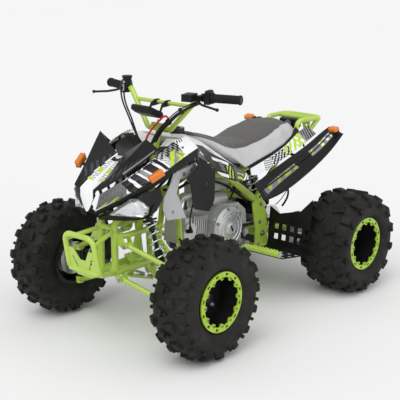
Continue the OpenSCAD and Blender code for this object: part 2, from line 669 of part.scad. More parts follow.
// Damper from foot to top: eyes along axis, body, rod and two spring seats.
module damper(foot, top, eye_len, along_y) {
  u = unit(top - foot);
  h = norm(top - foot);
  turn = along_y ? [90, 0, 0] : [0, 90, 0];
  for (p = [foot, top]) translate(p) rotate(turn) cylinder(h = eye_len, d = 24, center = true, $fn = 32);
  tube(foot + 2 * u, foot + 26 * u, 22);
  tube(foot + 24 * u, foot + (h * 0.55) * u, 34);
  tube(foot + 60 * u, top - 4 * u, 16);
  tube(top - 70 * u, top - 16 * u, 26);
  tube(foot + 34 * u, foot + 42 * u, 62);
  tube(top - 30 * u, top - 22 * u, 58);
}
spring_r = 25;
spring_wire = 8;
module front_dampers() {
  foot = M(shock_foot[0], shock_foot[1], shock_foot[2]);
  top = M(shock_top[0], shock_top[1], shock_top[2]);
  color(black) both_sides() damper(foot, top, 28, false);
}
module front_springs() {
  foot = M(shock_foot[0], shock_foot[1], shock_foot[2]);
  top = M(shock_top[0], shock_top[1], shock_top[2]);
  u = unit(top - foot);
  color(steel) both_sides()
    coil(foot + (42 + seat_gap) * u, top - (30 + seat_gap) * u, spring_r, spring_wire, 9);
}

// Rear end: swing arm on its pivot, axle carrier, damper.
leg_y = 48;
carrier_d = 62;
axle_d = 32;
rear_shock_foot = M(-345, 0, 318);
rear_shock_top = M(-238, 0, 563);
module swing_arm() {
  color(lime) difference() {
    union() {
      tube(M(pivot_x, -93.7, pivot_z), M(pivot_x, 93.7, pivot_z), 36);
      tube(M(pivot_x, -104, pivot_z), M(pivot_x, 104, pivot_z), 20);
      for (s = [-1, 1]) tube(M(pivot_x, s * leg_y, pivot_z), R(0, s * leg_y, rear_r), 34);
      tube(R(0, -leg_y - 14, rear_r), R(0, leg_y + 14, rear_r), carrier_d);
      tube(M(-345, -leg_y, pivot_z - 14), M(-345, leg_y, pivot_z - 14), 28);
      for (s = [-1, 1])
        xz_plate(s * 17, 5, MX([[-368, 246], [-322, 246], [-332, 322], [-345, 334], [-358, 322]]));
      // Caliper bracket and caliper over the disc.
      tube(R(70, -leg_y, rear_r + 6), R(70, -94, rear_r + 10), 16);
      translate(R(56, -102, rear_r - 20)) cube([34, 34, 60]);
    }
    translate(R(0, 0, rear_r)) rotate([90, 0, 0])
      cylinder(h = 200, r = axle_d / 2 + run_gap, center = true, $fn = 48);
    translate(R(0, -82, rear_r)) rotate([-90, 0, 0]) cylinder(h = 14, r = 87, center = true, $fn = 64);
  }
}
module rear_damper() {
  color(black) damper(rear_shock_foot, rear_shock_top, 27.4, true);
}
module rear_spring() {
  u = unit(rear_shock_top - rear_shock_foot);
  color(steel) coil(rear_shock_foot + (42 + seat_gap) * u, rear_shock_top - (30 + seat_gap) * u,
    spring_r, 9, 7);
}

// Rear axle with its wheel hubs; the sprocket and the disc sit on its shoulders.
sprocket_y = 80;
tooth_n = 37;
pitch_r = 6.35 / sin(180 / tooth_n);
rear_hub_y = rear_y + rear_dish_y;
module rear_axle() {
  color(steel) union() {
    tube(R(0, -rear_hub_y - 22, rear_r), R(0, rear_hub_y + 22, rear_r), axle_d);
    for (s = [-1, 1]) {
      tube(R(0, s * (rear_hub_y - 60), rear_r), R(0, s * (rear_hub_y + dish_t + 16), rear_r), 52);
      tube(R(0, s * (rear_hub_y - 8 - seat_gap), rear_r), R(0, s * (rear_hub_y - seat_gap), rear_r), 136);
      tube(R(0, s * (leg_y + 14 + 6), rear_r), R(0, s * (sprocket_y + 16), rear_r), 60);
      for (a = [45:90:315]) translate(R(0, 0, rear_r)) rotate([0, a, 0])
        translate([lug_pcd / 2, s * (rear_hub_y + 3), 0]) rotate([90, 0, 0])
          cylinder(h = 26, r = 5, center = true, $fn = 24);
      for (a = [45:90:315]) translate(R(0, 0, rear_r)) rotate([0, a, 0])
        translate([lug_pcd / 2, s * (rear_hub_y + dish_t + 4.3), 0]) rotate([90, 0, 0])
          cylinder(h = 8, r = 9, center = true, $fn = 6);
    }
  }
}
module sprocket() {
  step = 360 / tooth_n;
  color(grey) translate(R(0, sprocket_y, rear_r)) rotate([90, 0, 0])
    linear_extrude(6, center = true) difference() {
    polygon([for (k = [0:tooth_n - 1]) each [for (e = [[-0.5, -4], [-0.22, -3], [-0.1, 4], [0.1, 4], [0.22, -3]])
      (pitch_r + e[1]) * [cos((k + e[0]) * step), sin((k + e[0]) * step)]]]);
    circle(r = 30 + seat_gap, $fn = 48);
    for (k = [0:5]) rotate(60 * k) translate([50, 0]) circle(r = 9, $fn = 24);
  }
}
module rear_disc() {
  color(steel) translate(R(0, -82, rear_r)) rotate([90, 0, 0]) linear_extrude(4, center = true) difference() {
    circle(r = 83, $fn = 72);
    circle(r = 30 + seat_gap, $fn = 48);
    for (k = [0:11]) rotate(30 * k) translate([k % 2 == 0 ? 70 : 58, 0]) circle(r = 5, $fn = 20);
  }
}

// Chain: two runs of side plates on their pins round the engine's sprocket and the rear one.
drive = M(-118, 0, 300);
drive_r = 28;
function ang_list(a, b, n) = [for (i = [0:n]) a + (b - a) * i / n];
function loop_points(grow) =
  let (c = [drive[0], drive[2]], d = [rear_x, rear_r], v = c - d, len = norm(v),
       base = atan2(v[1], v[0]), lean = acos((pitch_r - drive_r) / len))
  concat(
    [for (a = ang_list(base + lean, base + 360 - lean, 20)) d + (pitch_r + grow) * [cos(a), sin(a)]],
    [for (a = ang_list(base - lean, base + lean, 8)) c + (drive_r + grow) * [cos(a), sin(a)]]);
module chain() {
  pts_a = loop_points(0);
  n = len(pts_a);
  color(grey) {
    for (y = [-7.2, 7.2]) xz_plate_ring(sprocket_y + y, 2, loop_points(5), loop_points(-5));
    for (run = [[20, 21, 3, 1], [n - 1, 0, 1, 3]]) {
      a = pts_a[run[0]];
      b = pts_a[run[1]];
      count = 25;
      for (k = [run[2]:count - run[3]]) let (q = a + (b - a) * k / count)
        translate([q[0], sprocket_y, q[1]]) rotate([90, 0, 0])
          cylinder(h = 17.6, d = 7, center = true, $fn = 8);
    }
  }
}
module xz_plate_ring(y, t, outer, inner) {
  translate([0, y + t / 2, 0]) rotate([90, 0, 0]) linear_extrude(t) difference() {
    polygon(outer);
    polygon(inner);
  }
}

// Engine: crankcase, covers, starter, output shaft.
module engine() {
  color(alloy) difference() {
    union() {
      xz_plate(0, 2 * 66, MX([[-152, 300], [-140, 256], [-60, 234], [60, 240], [104, 280], [112, 330],
        [104, 392], [60, 424], [0, 446], [-90, 436], [-140, 396]]));
      translate(M(16, 66, 350)) rotate([-90, 0, 0]) cylinder(h = 34, r = 92, $fn = 96);
      translate(M(16, 99, 350)) rotate([-90, 0, 0]) cylinder(h = 12, r1 = 92, r2 = 78, $fn = 96);
      translate(M(16, 110, 350)) rotate([-90, 0, 0]) cylinder(h = 5, r = 58, $fn = 72);
      translate(M(16, 110, 350)) rotate([-90, 0, 0]) cylinder(h = 10, r = 22, $fn = 48);
      xz_plate(78, 26, MX([[-78, 262], [-20, 246], [60, 250], [100, 290], [104, 400], [60, 428],
        [-60, 428], [-84, 380]]));
      translate(M(-10, -66, 345)) rotate([90, 0, 0]) cylinder(h = 36, r = 88, $fn = 96);
      translate(M(-10, -102, 345)) rotate([90, 0, 0]) cylinder(h = 8, r1 = 84, r2 = 66, $fn = 96);
      tube(M(-40, 20, 462), M(70, 20, 462), 54);
      tube(M(-118, 60, 300), M(-118, 92, 300), 24);
      tube(M(-10, 60, 256), M(-10, 142, 256), 14);
      // Feet that sit on the rails' brackets.
      for (x = [-130, 40]) translate(M(x - 12, -88, 222)) cube([24, 176, 32]);
    }
    translate(M(16, 121, 350)) rotate([90, 0, 0]) cube([26, 6, 8], center = true);
    for (k = [0:5]) translate(M(16, 117, 350)) rotate([0, 60 * k, 0]) translate([40, 0, 0])
      rotate([90, 0, 0]) cylinder(h = 8, r = 5, center = true, $fn = 24);
    for (s = [-1, 1]) tube_cut([M(-260, s * rail_y, rail_z), M(290, s * rail_y, rail_z)], frame_tube_d);
  }
}
cyl_tilt = 7;
module cylinder_block() {
  color(alloy) difference() {
    translate(M(108, 0, 356)) rotate([0, -cyl_tilt, 0]) {
      translate([-6, -48, -48]) cube([110, 96, 96]);
      for (k = [0:6]) translate([10 + 13 * k, -64, -62]) cube([5, 128, 124]);
      translate([98, -56, -56]) cube([44, 112, 112]);
      translate([142, 0, 0]) rotate([0, 90, 0]) cylinder(h = 10, r = 44, $fn = 64);
      translate([116, 56, 0]) rotate([-90, 0, 0]) cylinder(h = 10, r = 38, $fn = 64);
      translate([120, 0, 50]) rotate([0, 30, 0]) cylinder(h = 26, r = 17, $fn = 40);
    }
    xz_plate(0, 2 * 66 + 60, MX([[-152, 300], [-60, 234], [60, 240], [104, 280], [112.3, 330], [104.3, 392.3],
      [60, 424], [0, 446]]));
    translate(M(16, 66, 350)) rotate([-90, 0, 0]) cylinder(h = 60, r = 92.3, $fn = 96);
    translate(M(-10, -60, 345)) rotate([90, 0, 0]) cylinder(h = 60, r = 88.3, $fn = 96);
  }
}
module carburettor() {
  b = M(222, 0, 430);
  color(alloy) difference() {
    union() {
      bent_tube([b, M(240, 0, 470), M(200, 0, 504), M(110, 0, 506)], 34, 22);
      translate(M(110, -30, 474)) cube([44, 60, 66]);
      translate(M(132, 0, 450)) cylinder(h = 26, r = 24, $fn = 40);
      translate(M(132, 0, 538)) cylinder(h = 22, r = 18, $fn = 40);
    }
    translate(M(108, 0, 356)) rotate([0, -cyl_tilt, 0]) {
      translate([120, 0, 50]) rotate([0, 30, 0]) cylinder(h = 26 + seat_gap, r = 17.3, $fn = 40);
      translate([98 - seat_gap, -57, -57]) cube([44.6, 114, 113 + seat_gap]);
      translate([0, -65, -63]) cube([98, 130, 125 + seat_gap]);
    }
  }
  color(black) tube(M(109.7, 0, 506), M(40, 0, 506), 40);
  color(black) tube(M(39.7, 0, 528), M(-60, 0, 528), 74);
}
module exhaust() {
  color(grey) difference() {
    union() {
      bent_tube([M(222, -30, 330), M(214, -40, 286), M(150, -122, 276), M(-40, -136, 302),
        M(-120, -138, 350), M(-240, -150, 470), M(-300, -160, 492)], 32, 30);
      tube(M(-296, -160, 491), M(-520, -182, 560), 92);
      tube(M(-520, -182, 560), M(-534, -183.4, 564.3), 70);
      tube(M(-530, -183, 563), M(-556, -185.6, 571), 30);
    }
    translate(M(108, 0, 356)) rotate([0, -cyl_tilt, 0]) {
      translate([98 - seat_gap, -57, -56 - seat_gap]) cube([44.6, 114, 113]);
      translate([0, -65, -62 - seat_gap]) cube([98, 130, 125]);
    }
  }
}

peg = [-40, 335, 264];
module foot_rests() {
  color(lime) both_sides() difference() {
    bent_tube([M(peg[0], rail_y, 216), M(peg[0], 152, peg[2]), M(peg[0], peg[1], peg[2])], 25, 26);
    tube(M(-260, rail_y, rail_z), M(290, rail_y, rail_z), frame_tube_d + joint_step + 2 * seat_gap);
  }
}
module heel_guards() {
  color(black) both_sides() difference() {
    translate([0, 325, 0]) rotate([90, 0, 0]) linear_extrude(325 - plate_y - 3 - seat_gap)
      polygon(MX([[-48, 258], [-70, 238], [-236, 214], [-258, 222], [-284, 470], [-288, 470], [-262.4, 219.4],
        [-237, 209.6], [-71, 233.6], [-44, 258]]));
    translate([M(-300, 0, 0)[0], 0, 0]) rotate([90, 0, 90]) linear_extrude(60)
      polygon([[90, 392], [154, 362], [268, 392], [325, 452], [325, 500], [90, 500]]);
    for (y = [132, 174, 216, 258, 296], z = [246, 292]) translate(M(-300, y, z)) cube([60, 24, 26]);
    for (y = [132, 174, 216, 258, 296], x = [-110, -160, -208]) translate(M(x, y, 190)) cube([30, 24, 60]);
    tube(M(peg[0], 90, peg[2]), M(peg[0], peg[1] + 9, peg[2]), 25 + joint_step + 2 * seat_gap);
    tube(M(-251, rail_y, rail_z), M(0, rail_y, rail_z), frame_tube_d + joint_step + 2 * seat_gap);
    translate(M(-55, 90, 200)) cube([40, 76, 100]);
  }
}
module pedals() {
  color(steel) {
    // Gear lever on the engine's shaft.
    difference() {
      union() {
        tube(M(-10, 128, 256), M(-10, 144, 256), 26);
        bent_tube([M(-10, 136, 256), M(64, 140, 240), M(130, 146, 262)], 10, 40);
        tube(M(130, 140, 262), M(130, 186, 262), 14);
      }
      tube(M(-10, 60, 256), M(-10, 160, 256), 14 + 2 * seat_gap);
    }
  }
  color(black) difference() {
    // Foot brake beside the right rail.
    union() {
      tube(M(60, -rail_y, rail_z), M(60, -162, rail_z), 20);
      tube(M(62, -152, rail_z), M(140, -160, 304), 14);
      translate(M(126, -190, 296)) cube([30, 56, 12]);
    }
    tube(M(-260, -rail_y, rail_z), M(290, -rail_y, rail_z), frame_tube_d + joint_step + 2 * seat_gap);
  }
}

// Body panels, each a grid of points on its outer surface.
skin_t = 3;
function MG(g) = [for (row = g) [for (q = row) M(q[0], q[1], q[2])]];
hood_grid = MG(rev([for (h = [
  [[739, 0, 553], [738, 6, 556], [737, 11, 560]],
  [[742, 0, 590], [740, 18, 594], [737, 33, 602]],
  [[740, 0, 634], [737, 28, 640], [733, 50, 648]],
  [[673, 0, 672], [673, 24, 674], [672, 44, 677]],
  [[613, 0, 708], [613, 16, 710], [612, 30, 713]],
  [[553, 0, 742], [553, 8, 743], [552, 15, 745]]]) full_row(h)]));
cover_grid = MG(rev([for (h = [
  [[546, 0, 736], [546, 8, 737], [546, 14, 739]],
  [[480, 0, 728], [480, 60, 735], [478, 122, 757]],
  [[400, 0, 722], [400, 70, 735], [400, 124, 778]]]) full_row(h)]));
horn_grid = MG(rev([
  [[735, 54, 643], [740, 62, 652], [734, 67, 642]],
  [[673, 48, 681], [668, 84, 708], [656, 97, 680]],
  [[613, 34, 717], [600, 108, 768], [568, 117, 718]],
  [[553, 19, 750], [540, 126, 820], [478, 136, 770]]]));
side_grid = MG(rev([
  [[735, 72, 630], [732, 56, 590], [726, 34, 557]],
  [[656, 102, 668], [662, 106, 636], [660, 98, 603]],
  [[568, 122, 706], [578, 154, 686], [580, 172, 663]],
  [[478, 142, 757], [486, 180, 736], [490, 203, 711]],
  [[400, 142, 795], [402, 180, 772], [400, 203, 743]],
  [[325, 140, 800], [325, 172, 784], [324, 198, 763]]]));
strip_grid = MG(rev([
  [[724, 32, 553], [721, 34, 547], [716, 34, 540]],
  [[660, 98, 599], [656, 102, 590], [652, 100, 580]],
  [[580, 172, 659], [576, 176, 648], [570, 176, 636]],
  [[490, 204, 707], [486, 207, 694], [482, 206, 682]],
  [[400, 204, 739], [398, 205, 722], [396, 202, 706]],
  [[324, 198, 759], [322, 197, 744], [318, 194, 730]]]));
nose_grid = MG(rev([
  [[714, 32, 536], [722, 48, 532], [712, 36, 522]],
  [[652, 100, 576], [668, 128, 560], [655, 92, 516]],
  [[600, 160, 624], [612, 182, 575], [612, 130, 514]],
  [[560, 184, 634], [570, 200, 590], [566, 160, 520]],
  [[532, 190, 642], [530, 204, 600], [532, 172, 545]]]));
tank_grid = MG(rev([for (h = [
  [[318, 0, 782], [318, 60, 786], [318, 115, 792], [318, 150, 780], [318, 184, 757]],
  [[240, 0, 782], [240, 60, 784], [240, 112, 780], [240, 148, 752], [240, 178, 702]],
  [[170, 0, 752], [170, 60, 752], [170, 108, 742], [170, 146, 706], [170, 181, 617]],
  [[100, 0, 690], [100, 60, 690], [100, 120, 688], [100, 146, 668], [100, 178, 591]],
  [[30, 0, 652], [30, 60, 652], [30, 122, 644], [30, 146, 625], [30, 172, 565]],
  [[-45, 0, 607], [-45, 60, 605], [-45, 128, 598], [-45, 148, 588], [-45, 166, 566]]]) full_row(h)]));
cowl_grid = MG(rev([
  [[-62, 156, 604], [-62, 158, 592], [-62, 162, 576]],
  [[-125, 156, 618], [-125, 161, 600], [-125, 168, 570]],
  [[-220, 156, 638], [-220, 164, 624], [-220, 171, 601]],
  [[-320, 149, 664], [-320, 160, 649], [-320, 171, 627]],
  [[-400, 131, 688], [-400, 148, 672], [-400, 169, 648]],
  [[-470, 112, 703], [-470, 136, 688], [-470, 162, 667]],
  [[-540, 100, 714], [-540, 126, 698], [-540, 152, 684]]]));
wing_grid = MG(rev([
  [[-66, 178, 540], [-66, 200, 508], [-66, 226, 478]],
  [[-130, 178, 564], [-130, 212, 532], [-130, 250, 486]],
  [[-262, 180, 606], [-262, 222, 580], [-262, 268, 538]],
  [[-360, 180, 631], [-360, 226, 612], [-360, 272, 578]],
  [[-453, 178, 657], [-453, 226, 645], [-453, 272, 617]],
  [[-520, 182, 689], [-520, 226, 682], [-520, 272, 655]],
  [[-580, 194, 716], [-580, 230, 712], [-580, 268, 692]]]));

// What a post may not enter: a panel, its clearance, and a band outside it.
module keep_out(g) { slab(shifted(g, -skin_t - seat_gap), shifted(g, 16)); }

lamp_out = [0.55, 0.80, 0.12];
lamp_points = [[707, 90, 549], [649, 150, 611], [627, 166, 608], [593, 192, 575], [599, 190, 549],
  [616, 176, 535]];
module lamp_body(grow, out, depth) {
  c = M(632, 161, 571);
  pts = [for (q = lamp_points) let (v = M(q[0], q[1], q[2]) - c) c + v * (1 + grow / norm(v))];
  n = len(pts);
  u = unit(lamp_out);
  all_pts = concat([for (q = pts) q + out * u], [for (q = pts) q - depth * u],
    [c + (out + 3) * u, c - depth * u]);
  faces = concat(
    [for (i = [0:n - 1]) [i, (i + 1) % n, 2 * n]],
    [for (i = [0:n - 1]) [n + (i + 1) % n, n + i, 2 * n + 1]],
    [for (i = [0:n - 1]) each [[(i + 1) % n, i, n + i], [(i + 1) % n, n + i, n + (i + 1) % n]]]);
  polyhedron(all_pts, faces, convexity = 4);
}

front_stalk = [M(562, 150, 652), M(572, 206, 690)];
rear_stalk = [M(-545, 240, 650), M(-550, 243, 710)];
module front_stalk_at(grow) { tube(front_stalk[0], front_stalk[1], 13 + grow); }
module rear_stalk_at(grow) { tube(rear_stalk[0], rear_stalk[1], 12 + grow); }

module hood() { color(white) panel(hood_grid, skin_t); }
module horns() {
  color(black) {
    both_sides() panel(horn_grid, skin_t);
    panel(cover_grid, skin_t);
  }
}
module front_sides() {
  color(white) both_sides() difference() {
    panel(side_grid, skin_t);
    front_stalk_at(2 * seat_gap);
  }
}
module nose() {
  color(black) both_sides() difference() {
    panel(nose_grid, skin_t);
    lamp_body(seat_gap + 0.2, 40, 60);
  }
}
module headlamps() {
  color([0.8, 0.83, 0.86]) both_sides() lamp_body(0, 7, 22);
}
module turn_lamps() {
  color(black) both_sides() {
    front_stalk_at(0);
    rear_stalk_at(0);
  }
  color(amber) both_sides() {
    translate(front_stalk[1] + [0, 4, 5]) rotate([0, 27, -20]) cube([62, 24, 28], center = true);
    translate(rear_stalk[1] + [4, 0, 9]) rotate([0, 15, 0]) cube([34, 44, 26], center = true);
  }
}
module tail_lamp() {
  color([0.75, 0.2, 0.2]) difference() {
    union() {
      translate(M(-548, 0, 716)) rotate([0, 12, 0]) cube([34, 92, 38], center = true);
      tube(M(-560, 0, 668), M(-552, 0, 706), 18);
    }
    tube(M(-560, -60, 665), M(-560, 60, 665), 22 + 2 * seat_gap);
  }
}
cap_x = 226;
module tank_cover() {
  color(white) difference() {
    panel(tank_grid, skin_t);
    translate(M(cap_x, 0, 740)) cylinder(h = 80, r = 22 + seat_gap, $fn = 48);
    both_sides() tube(tank_post[0], tank_post[1], post_d + 2 * seat_gap);
  }
}
module filler_cap() {
  color(black) {
    translate(M(cap_x, 0, 758)) cylinder(h = 30, r = 22, $fn = 48);
    translate(M(cap_x, 0, 786)) difference() {
      cylinder(h = 18, r = 29, $fn = 60);
      for (k = [0:11]) rotate(30 * k) translate([30.5, 0, -1]) cylinder(h = 20, r = 4, $fn = 16);
    }
  }
}
knee_y = 174;
module knee_panels() {
  color(black) both_sides() {
    xz_plate(knee_y, 4, MX([[310, 728], [242, 686], [192, 634], [197, 522], [231, 480], [316, 507],
      [326, 523], [336, 604], [364, 644], [296, 672], [302, 692]]));
    difference() {
      panel(strip_grid, skin_t);
      front_stalk_at(2 * seat_gap);
    }
  }
}
guard_y = 140;
module guard_plates() {
  color([0.72, 0.72, 0.74]) both_sides() difference() {
    xz_plate(guard_y, 4, MX([[393, 664], [282, 684], [262, 669], [271, 646], [314, 635], [367, 634],
      [388, 579], [373, 558], [331, 468], [441, 481], [466, 530], [458, 575]]));
    for (q = [[300, 660], [345, 652], [408, 508]]) translate(M(q[0], guard_y, q[1])) rotate([90, 0, 0])
      cylinder(h = 10, r = 5.5, center = true, $fn = 24);
  }
}
module rear_cowl() { color(white) both_sides() panel(cowl_grid, skin_t); }
module rear_wings() {
  color(black) both_sides() difference() {
    panel(wing_grid, skin_t);
    rear_stalk_at(2 * seat_gap);
  }
}

// Seat: each row is its station, the outer line from the middle to the edge, and its underside.
seat_rows = rev([
  [165, [[0, 786], [20, 785], [34, 780], [42, 770]], 760],
  [120, [[0, 768], [40, 766], [75, 758], [96, 742]], 726],
  [70, [[0, 747], [60, 744], [104, 728], [128, 694]], 684],
  [10, [[0, 718], [74, 714], [116, 694], [138, 650]], 650],
  [-40, [[0, 702], [84, 698], [122, 676], [150, 607]], 618],
  [-125, [[0, 705], [95, 701], [128, 682], [152, 628]], 620],
  [-220, [[0, 728], [102, 723], [132, 702], [152, 648]], 638],
  [-320, [[0, 748], [98, 744], [126, 722], [145, 674]], 660],
  [-400, [[0, 758], [80, 753], [108, 735], [126, 698]], 682],
  [-448, [[0, 744], [64, 740], [88, 726], [100, 708]], 702]]);
seat_outer = [for (r = seat_rows) full_row([for (q = r[1]) M(r[0], q[0], q[1])])];
seat_inner = [for (r = seat_rows) full_row([for (i = [0:3])
  M(r[0], r[1][i][0] * 0.93, min(r[2], r[1][i][1] - 3))])];
module seat() {
  color(grey) difference() {
    slab(seat_inner, seat_outer);
    both_sides() tube(seat_post[0], seat_post[1] + [0, 0, seat_gap], post_d + 2 * seat_gap);
  }
}

// Posts that carry the panels on the frame.
post_d = 12;
tank_post = [M(64, 80, 586), M(64, 80, 677)];
seat_post = [M(-262, 78, 604), M(-262, 78, 664)];
module brackets() {
  color(black) difference() {
    union() {
      difference() {
        tube(M(632, 0, 474), M(676, 0, 676), post_d);
        keep_out(hood_grid);
      }
      both_sides() {
        difference() {
          tube(M(540, 63, 550.6), M(606, 74, 744), post_d);
          keep_out(horn_grid);
        }
        difference() {
          tube(M(383, 84, 594), M(387, 178, 772), post_d);
          keep_out(side_grid);
        }
        difference() {
          tube(M(470, 74, 572), M(476, 208, 696), post_d);
          keep_out(strip_grid);
        }
        difference() {
          tube(M(610, 45, 506.5), M(656, 110, 528), post_d);
          keep_out(nose_grid);
        }
        difference() {
          tube(M(-300, 78, 618), M(-302, 162, 654), post_d);
          keep_out(cowl_grid);
        }
        difference() {
          tube(M(-350, 78, 629), M(-352, 230, 610), post_d);
          keep_out(wing_grid);
        }
        tube(M(480, 70, 572), M(462, 60, 745), post_d);
        tube(M(215, top_y, 620), M(215, knee_y - 2 - seat_gap, 620), post_d);
        tube(M(410, 80, 592), M(410, guard_y - 2 - seat_gap, 592), post_d);
        tube(tank_post[0], tank_post[1], post_d);
        tube(seat_post[0], seat_post[1], post_d);
      }
    }
    keep_out(cover_grid);
    for (s = [-1, 1]) {
      tube_cut([for (i = [1:5]) side(top_rail[i], s)], frame_tube_d);
      tube_cut([for (i = [1:3]) side(seat_rail[i], s)], 25);
    }
    tube(M(632, -60, 470), M(632, 60, 470), 24 + 2 * seat_gap);
  }
}

// Wheels in place.
module place_left() { translate([front_x, front_y, front_r]) children(); }
module place_right() { mirror([0, 1, 0]) place_left() children(); }
module place_rear() { both_sides() translate([rear_x, rear_y, rear_r]) children(); }
module knuckle_left() { knuckle(); }
module knuckle_right() { mirror([0, 1, 0]) knuckle(); }
module tie_rod_left() { tie_rod(); }
module tie_rod_right() { mirror([0, 1, 0]) tie_rod(); }
module tyre_left() { place_left() front_tyre(); }
module tyre_right() { place_right() front_tyre(); }
module rim_left() { place_left() rim(front_rim_hw, front_dish_y); }
module rim_right() { place_right() rim(front_rim_hw, front_dish_y); }
module bead_ring_left() { place_left() bead_ring(front_rim_hw + seat_gap); }
module bead_ring_right() { place_right() bead_ring(front_rim_hw + seat_gap); }
module hub_left() { place_left() front_hub(); }
module hub_right() { place_right() front_hub(); }
module rear_tyres() { place_rear() rear_tyre(); }
module rear_rims() { place_rear() rim(rear_rim_hw, rear_dish_y); }
module rear_bead_rings() { place_rear() bead_ring(rear_rim_hw + seat_gap); }

frame_rails();
frame_braces();
seat_frame();
bumper();
rack();
upper_arms();
lower_arms();
front_dampers();
front_springs();
swing_arm();
rear_damper();
rear_spring();
chain();
engine();
cylinder_block();
carburettor();
exhaust();
foot_rests();
heel_guards();
pedals();
hood();
horns();
front_sides();
nose();
headlamps();
turn_lamps();
tail_lamp();
brackets();
tank_cover();
filler_cap();
knee_panels();
guard_plates();
rear_cowl();
seat();
rear_wings();
handlebar();
grips();
controls();
display();
cables();
knuckle_left();
knuckle_right();
tie_rod_left();
tie_rod_right();
tyre_left();
rim_left();
bead_ring_left();
hub_left();
tyre_right();
rim_right();
bead_ring_right();
hub_right();
rear_tyres();
rear_rims();
rear_bead_rings();
rear_axle();
sprocket();
rear_disc();
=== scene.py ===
# %% [markdown]
# # A quad bike, dressed around its CAD frame
# A quad bike is a welded tube frame that carries an engine, moulded covers and four balloon tyres.
# The CAD part already holds every solid at its real size, so this lesson only gives it its looks. Pieces whose
# CAD shape is right keep it and get a finish; soft, moulded and finely cut pieces are made again here.

# %% Load the frame and keep its box
import json
import math

import bmesh
import bpy
from mathutils import Matrix, Vector
from mathutils.bvhtree import BVHTree

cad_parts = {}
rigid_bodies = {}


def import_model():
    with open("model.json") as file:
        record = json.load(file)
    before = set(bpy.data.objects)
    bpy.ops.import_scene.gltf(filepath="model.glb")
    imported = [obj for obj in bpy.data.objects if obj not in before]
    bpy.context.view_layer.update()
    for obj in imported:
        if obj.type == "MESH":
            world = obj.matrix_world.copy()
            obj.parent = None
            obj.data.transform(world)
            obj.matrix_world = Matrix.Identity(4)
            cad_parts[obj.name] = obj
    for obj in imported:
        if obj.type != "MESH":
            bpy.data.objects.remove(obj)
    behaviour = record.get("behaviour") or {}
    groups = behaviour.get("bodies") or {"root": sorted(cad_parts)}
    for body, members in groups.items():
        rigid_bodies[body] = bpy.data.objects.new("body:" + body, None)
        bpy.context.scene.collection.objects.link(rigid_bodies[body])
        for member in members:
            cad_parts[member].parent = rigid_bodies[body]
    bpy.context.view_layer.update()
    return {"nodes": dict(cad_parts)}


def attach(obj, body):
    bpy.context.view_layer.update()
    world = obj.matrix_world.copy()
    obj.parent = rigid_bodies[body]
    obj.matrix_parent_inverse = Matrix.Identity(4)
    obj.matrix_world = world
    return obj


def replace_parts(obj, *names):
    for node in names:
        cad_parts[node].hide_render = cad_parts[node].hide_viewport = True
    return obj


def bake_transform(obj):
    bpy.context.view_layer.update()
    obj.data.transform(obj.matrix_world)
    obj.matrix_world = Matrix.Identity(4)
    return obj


for leftover in list(bpy.data.objects):
    bpy.data.objects.remove(leftover)
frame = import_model()
nodes = frame["nodes"]
print("CAD nodes:", len(nodes))

# %% [markdown]
# The drawing of this vehicle has its own origin, 28.5 mm behind the frame's. One small function turns a drawing's
# millimetres into the frame's metres, so that every place below can be read off the drawing.

# %% Drawing to frame
DRAWING_SHIFT = -28.5
FRONT_AXLE = Vector((0.4815, 0.403, 0.2415))
REAR_AXLE = Vector((-0.5385, 0.358, 0.229))


def place(x, y, z):
    return Vector((x + DRAWING_SHIFT, y, z)) / 1000


def mirrored(point):
    return Vector((point[0], -point[1], point[2]))


# %% [markdown]
# The camera stands where the photographer stood: ahead and to the left of the vehicle, a little above the bars,
# with a long lens. The floor is one wide pale disc, so that no horizon shows. A broad sun and an even sky light it
# softly, at a level where a colour renders about as it is written.

# %% Camera, floor and light
scene = bpy.context.scene
scene.view_settings.view_transform = "Standard"
AZIMUTH, ELEVATION = math.radians(131.36), math.radians(14.83)
lens = bpy.data.cameras.new("photo_lens")
lens.lens = 95.44
lens.sensor_width = 36
lens.clip_end = 200
camera = bpy.data.objects.new("photo_camera", lens)
scene.collection.objects.link(camera)
camera.location = (3.3394, 2.8889, 1.6265)
sight = Vector((-math.sin(AZIMUTH) * math.cos(ELEVATION), math.cos(AZIMUTH) * math.cos(ELEVATION), -math.sin(ELEVATION)))
camera.rotation_euler = sight.to_track_quat("-Z", "Y").to_euler()
scene.camera = camera


def sun(name, strength, angle, direction):
    lamp = bpy.data.lights.new(name, "SUN")
    lamp.energy = strength
    lamp.angle = math.radians(angle)
    holder = bpy.data.objects.new(name, lamp)
    scene.collection.objects.link(holder)
    holder.rotation_euler = Vector(direction).to_track_quat("-Z", "Y").to_euler()
    return holder


sun("key_light", 1.5, 50, (-0.75, -0.25, -1.0))
sun("side_light", 0.7, 70, (0.15, -1.0, -0.45))
sky = bpy.data.worlds.new("studio")
scene.world = sky
sky.use_nodes = True
sky_nodes = sky.node_tree
sky_glow = sky_nodes.nodes["Background"]
sky_glow.inputs["Color"].default_value = (1, 1, 1, 1)
rays = sky_nodes.nodes.new("ShaderNodeLightPath")
seen = sky_nodes.nodes.new("ShaderNodeMath")
seen.operation = "MAXIMUM"
sky_nodes.links.new(rays.outputs["Is Camera Ray"], seen.inputs[0])
sky_nodes.links.new(rays.outputs["Is Transmission Ray"], seen.inputs[1])
level = sky_nodes.nodes.new("ShaderNodeMapRange")
level.inputs["To Min"].default_value = 0.62
level.inputs["To Max"].default_value = 1.0
sky_nodes.links.new(seen.outputs[0], level.inputs["Value"])
sky_nodes.links.new(level.outputs[0], sky_glow.inputs["Strength"])

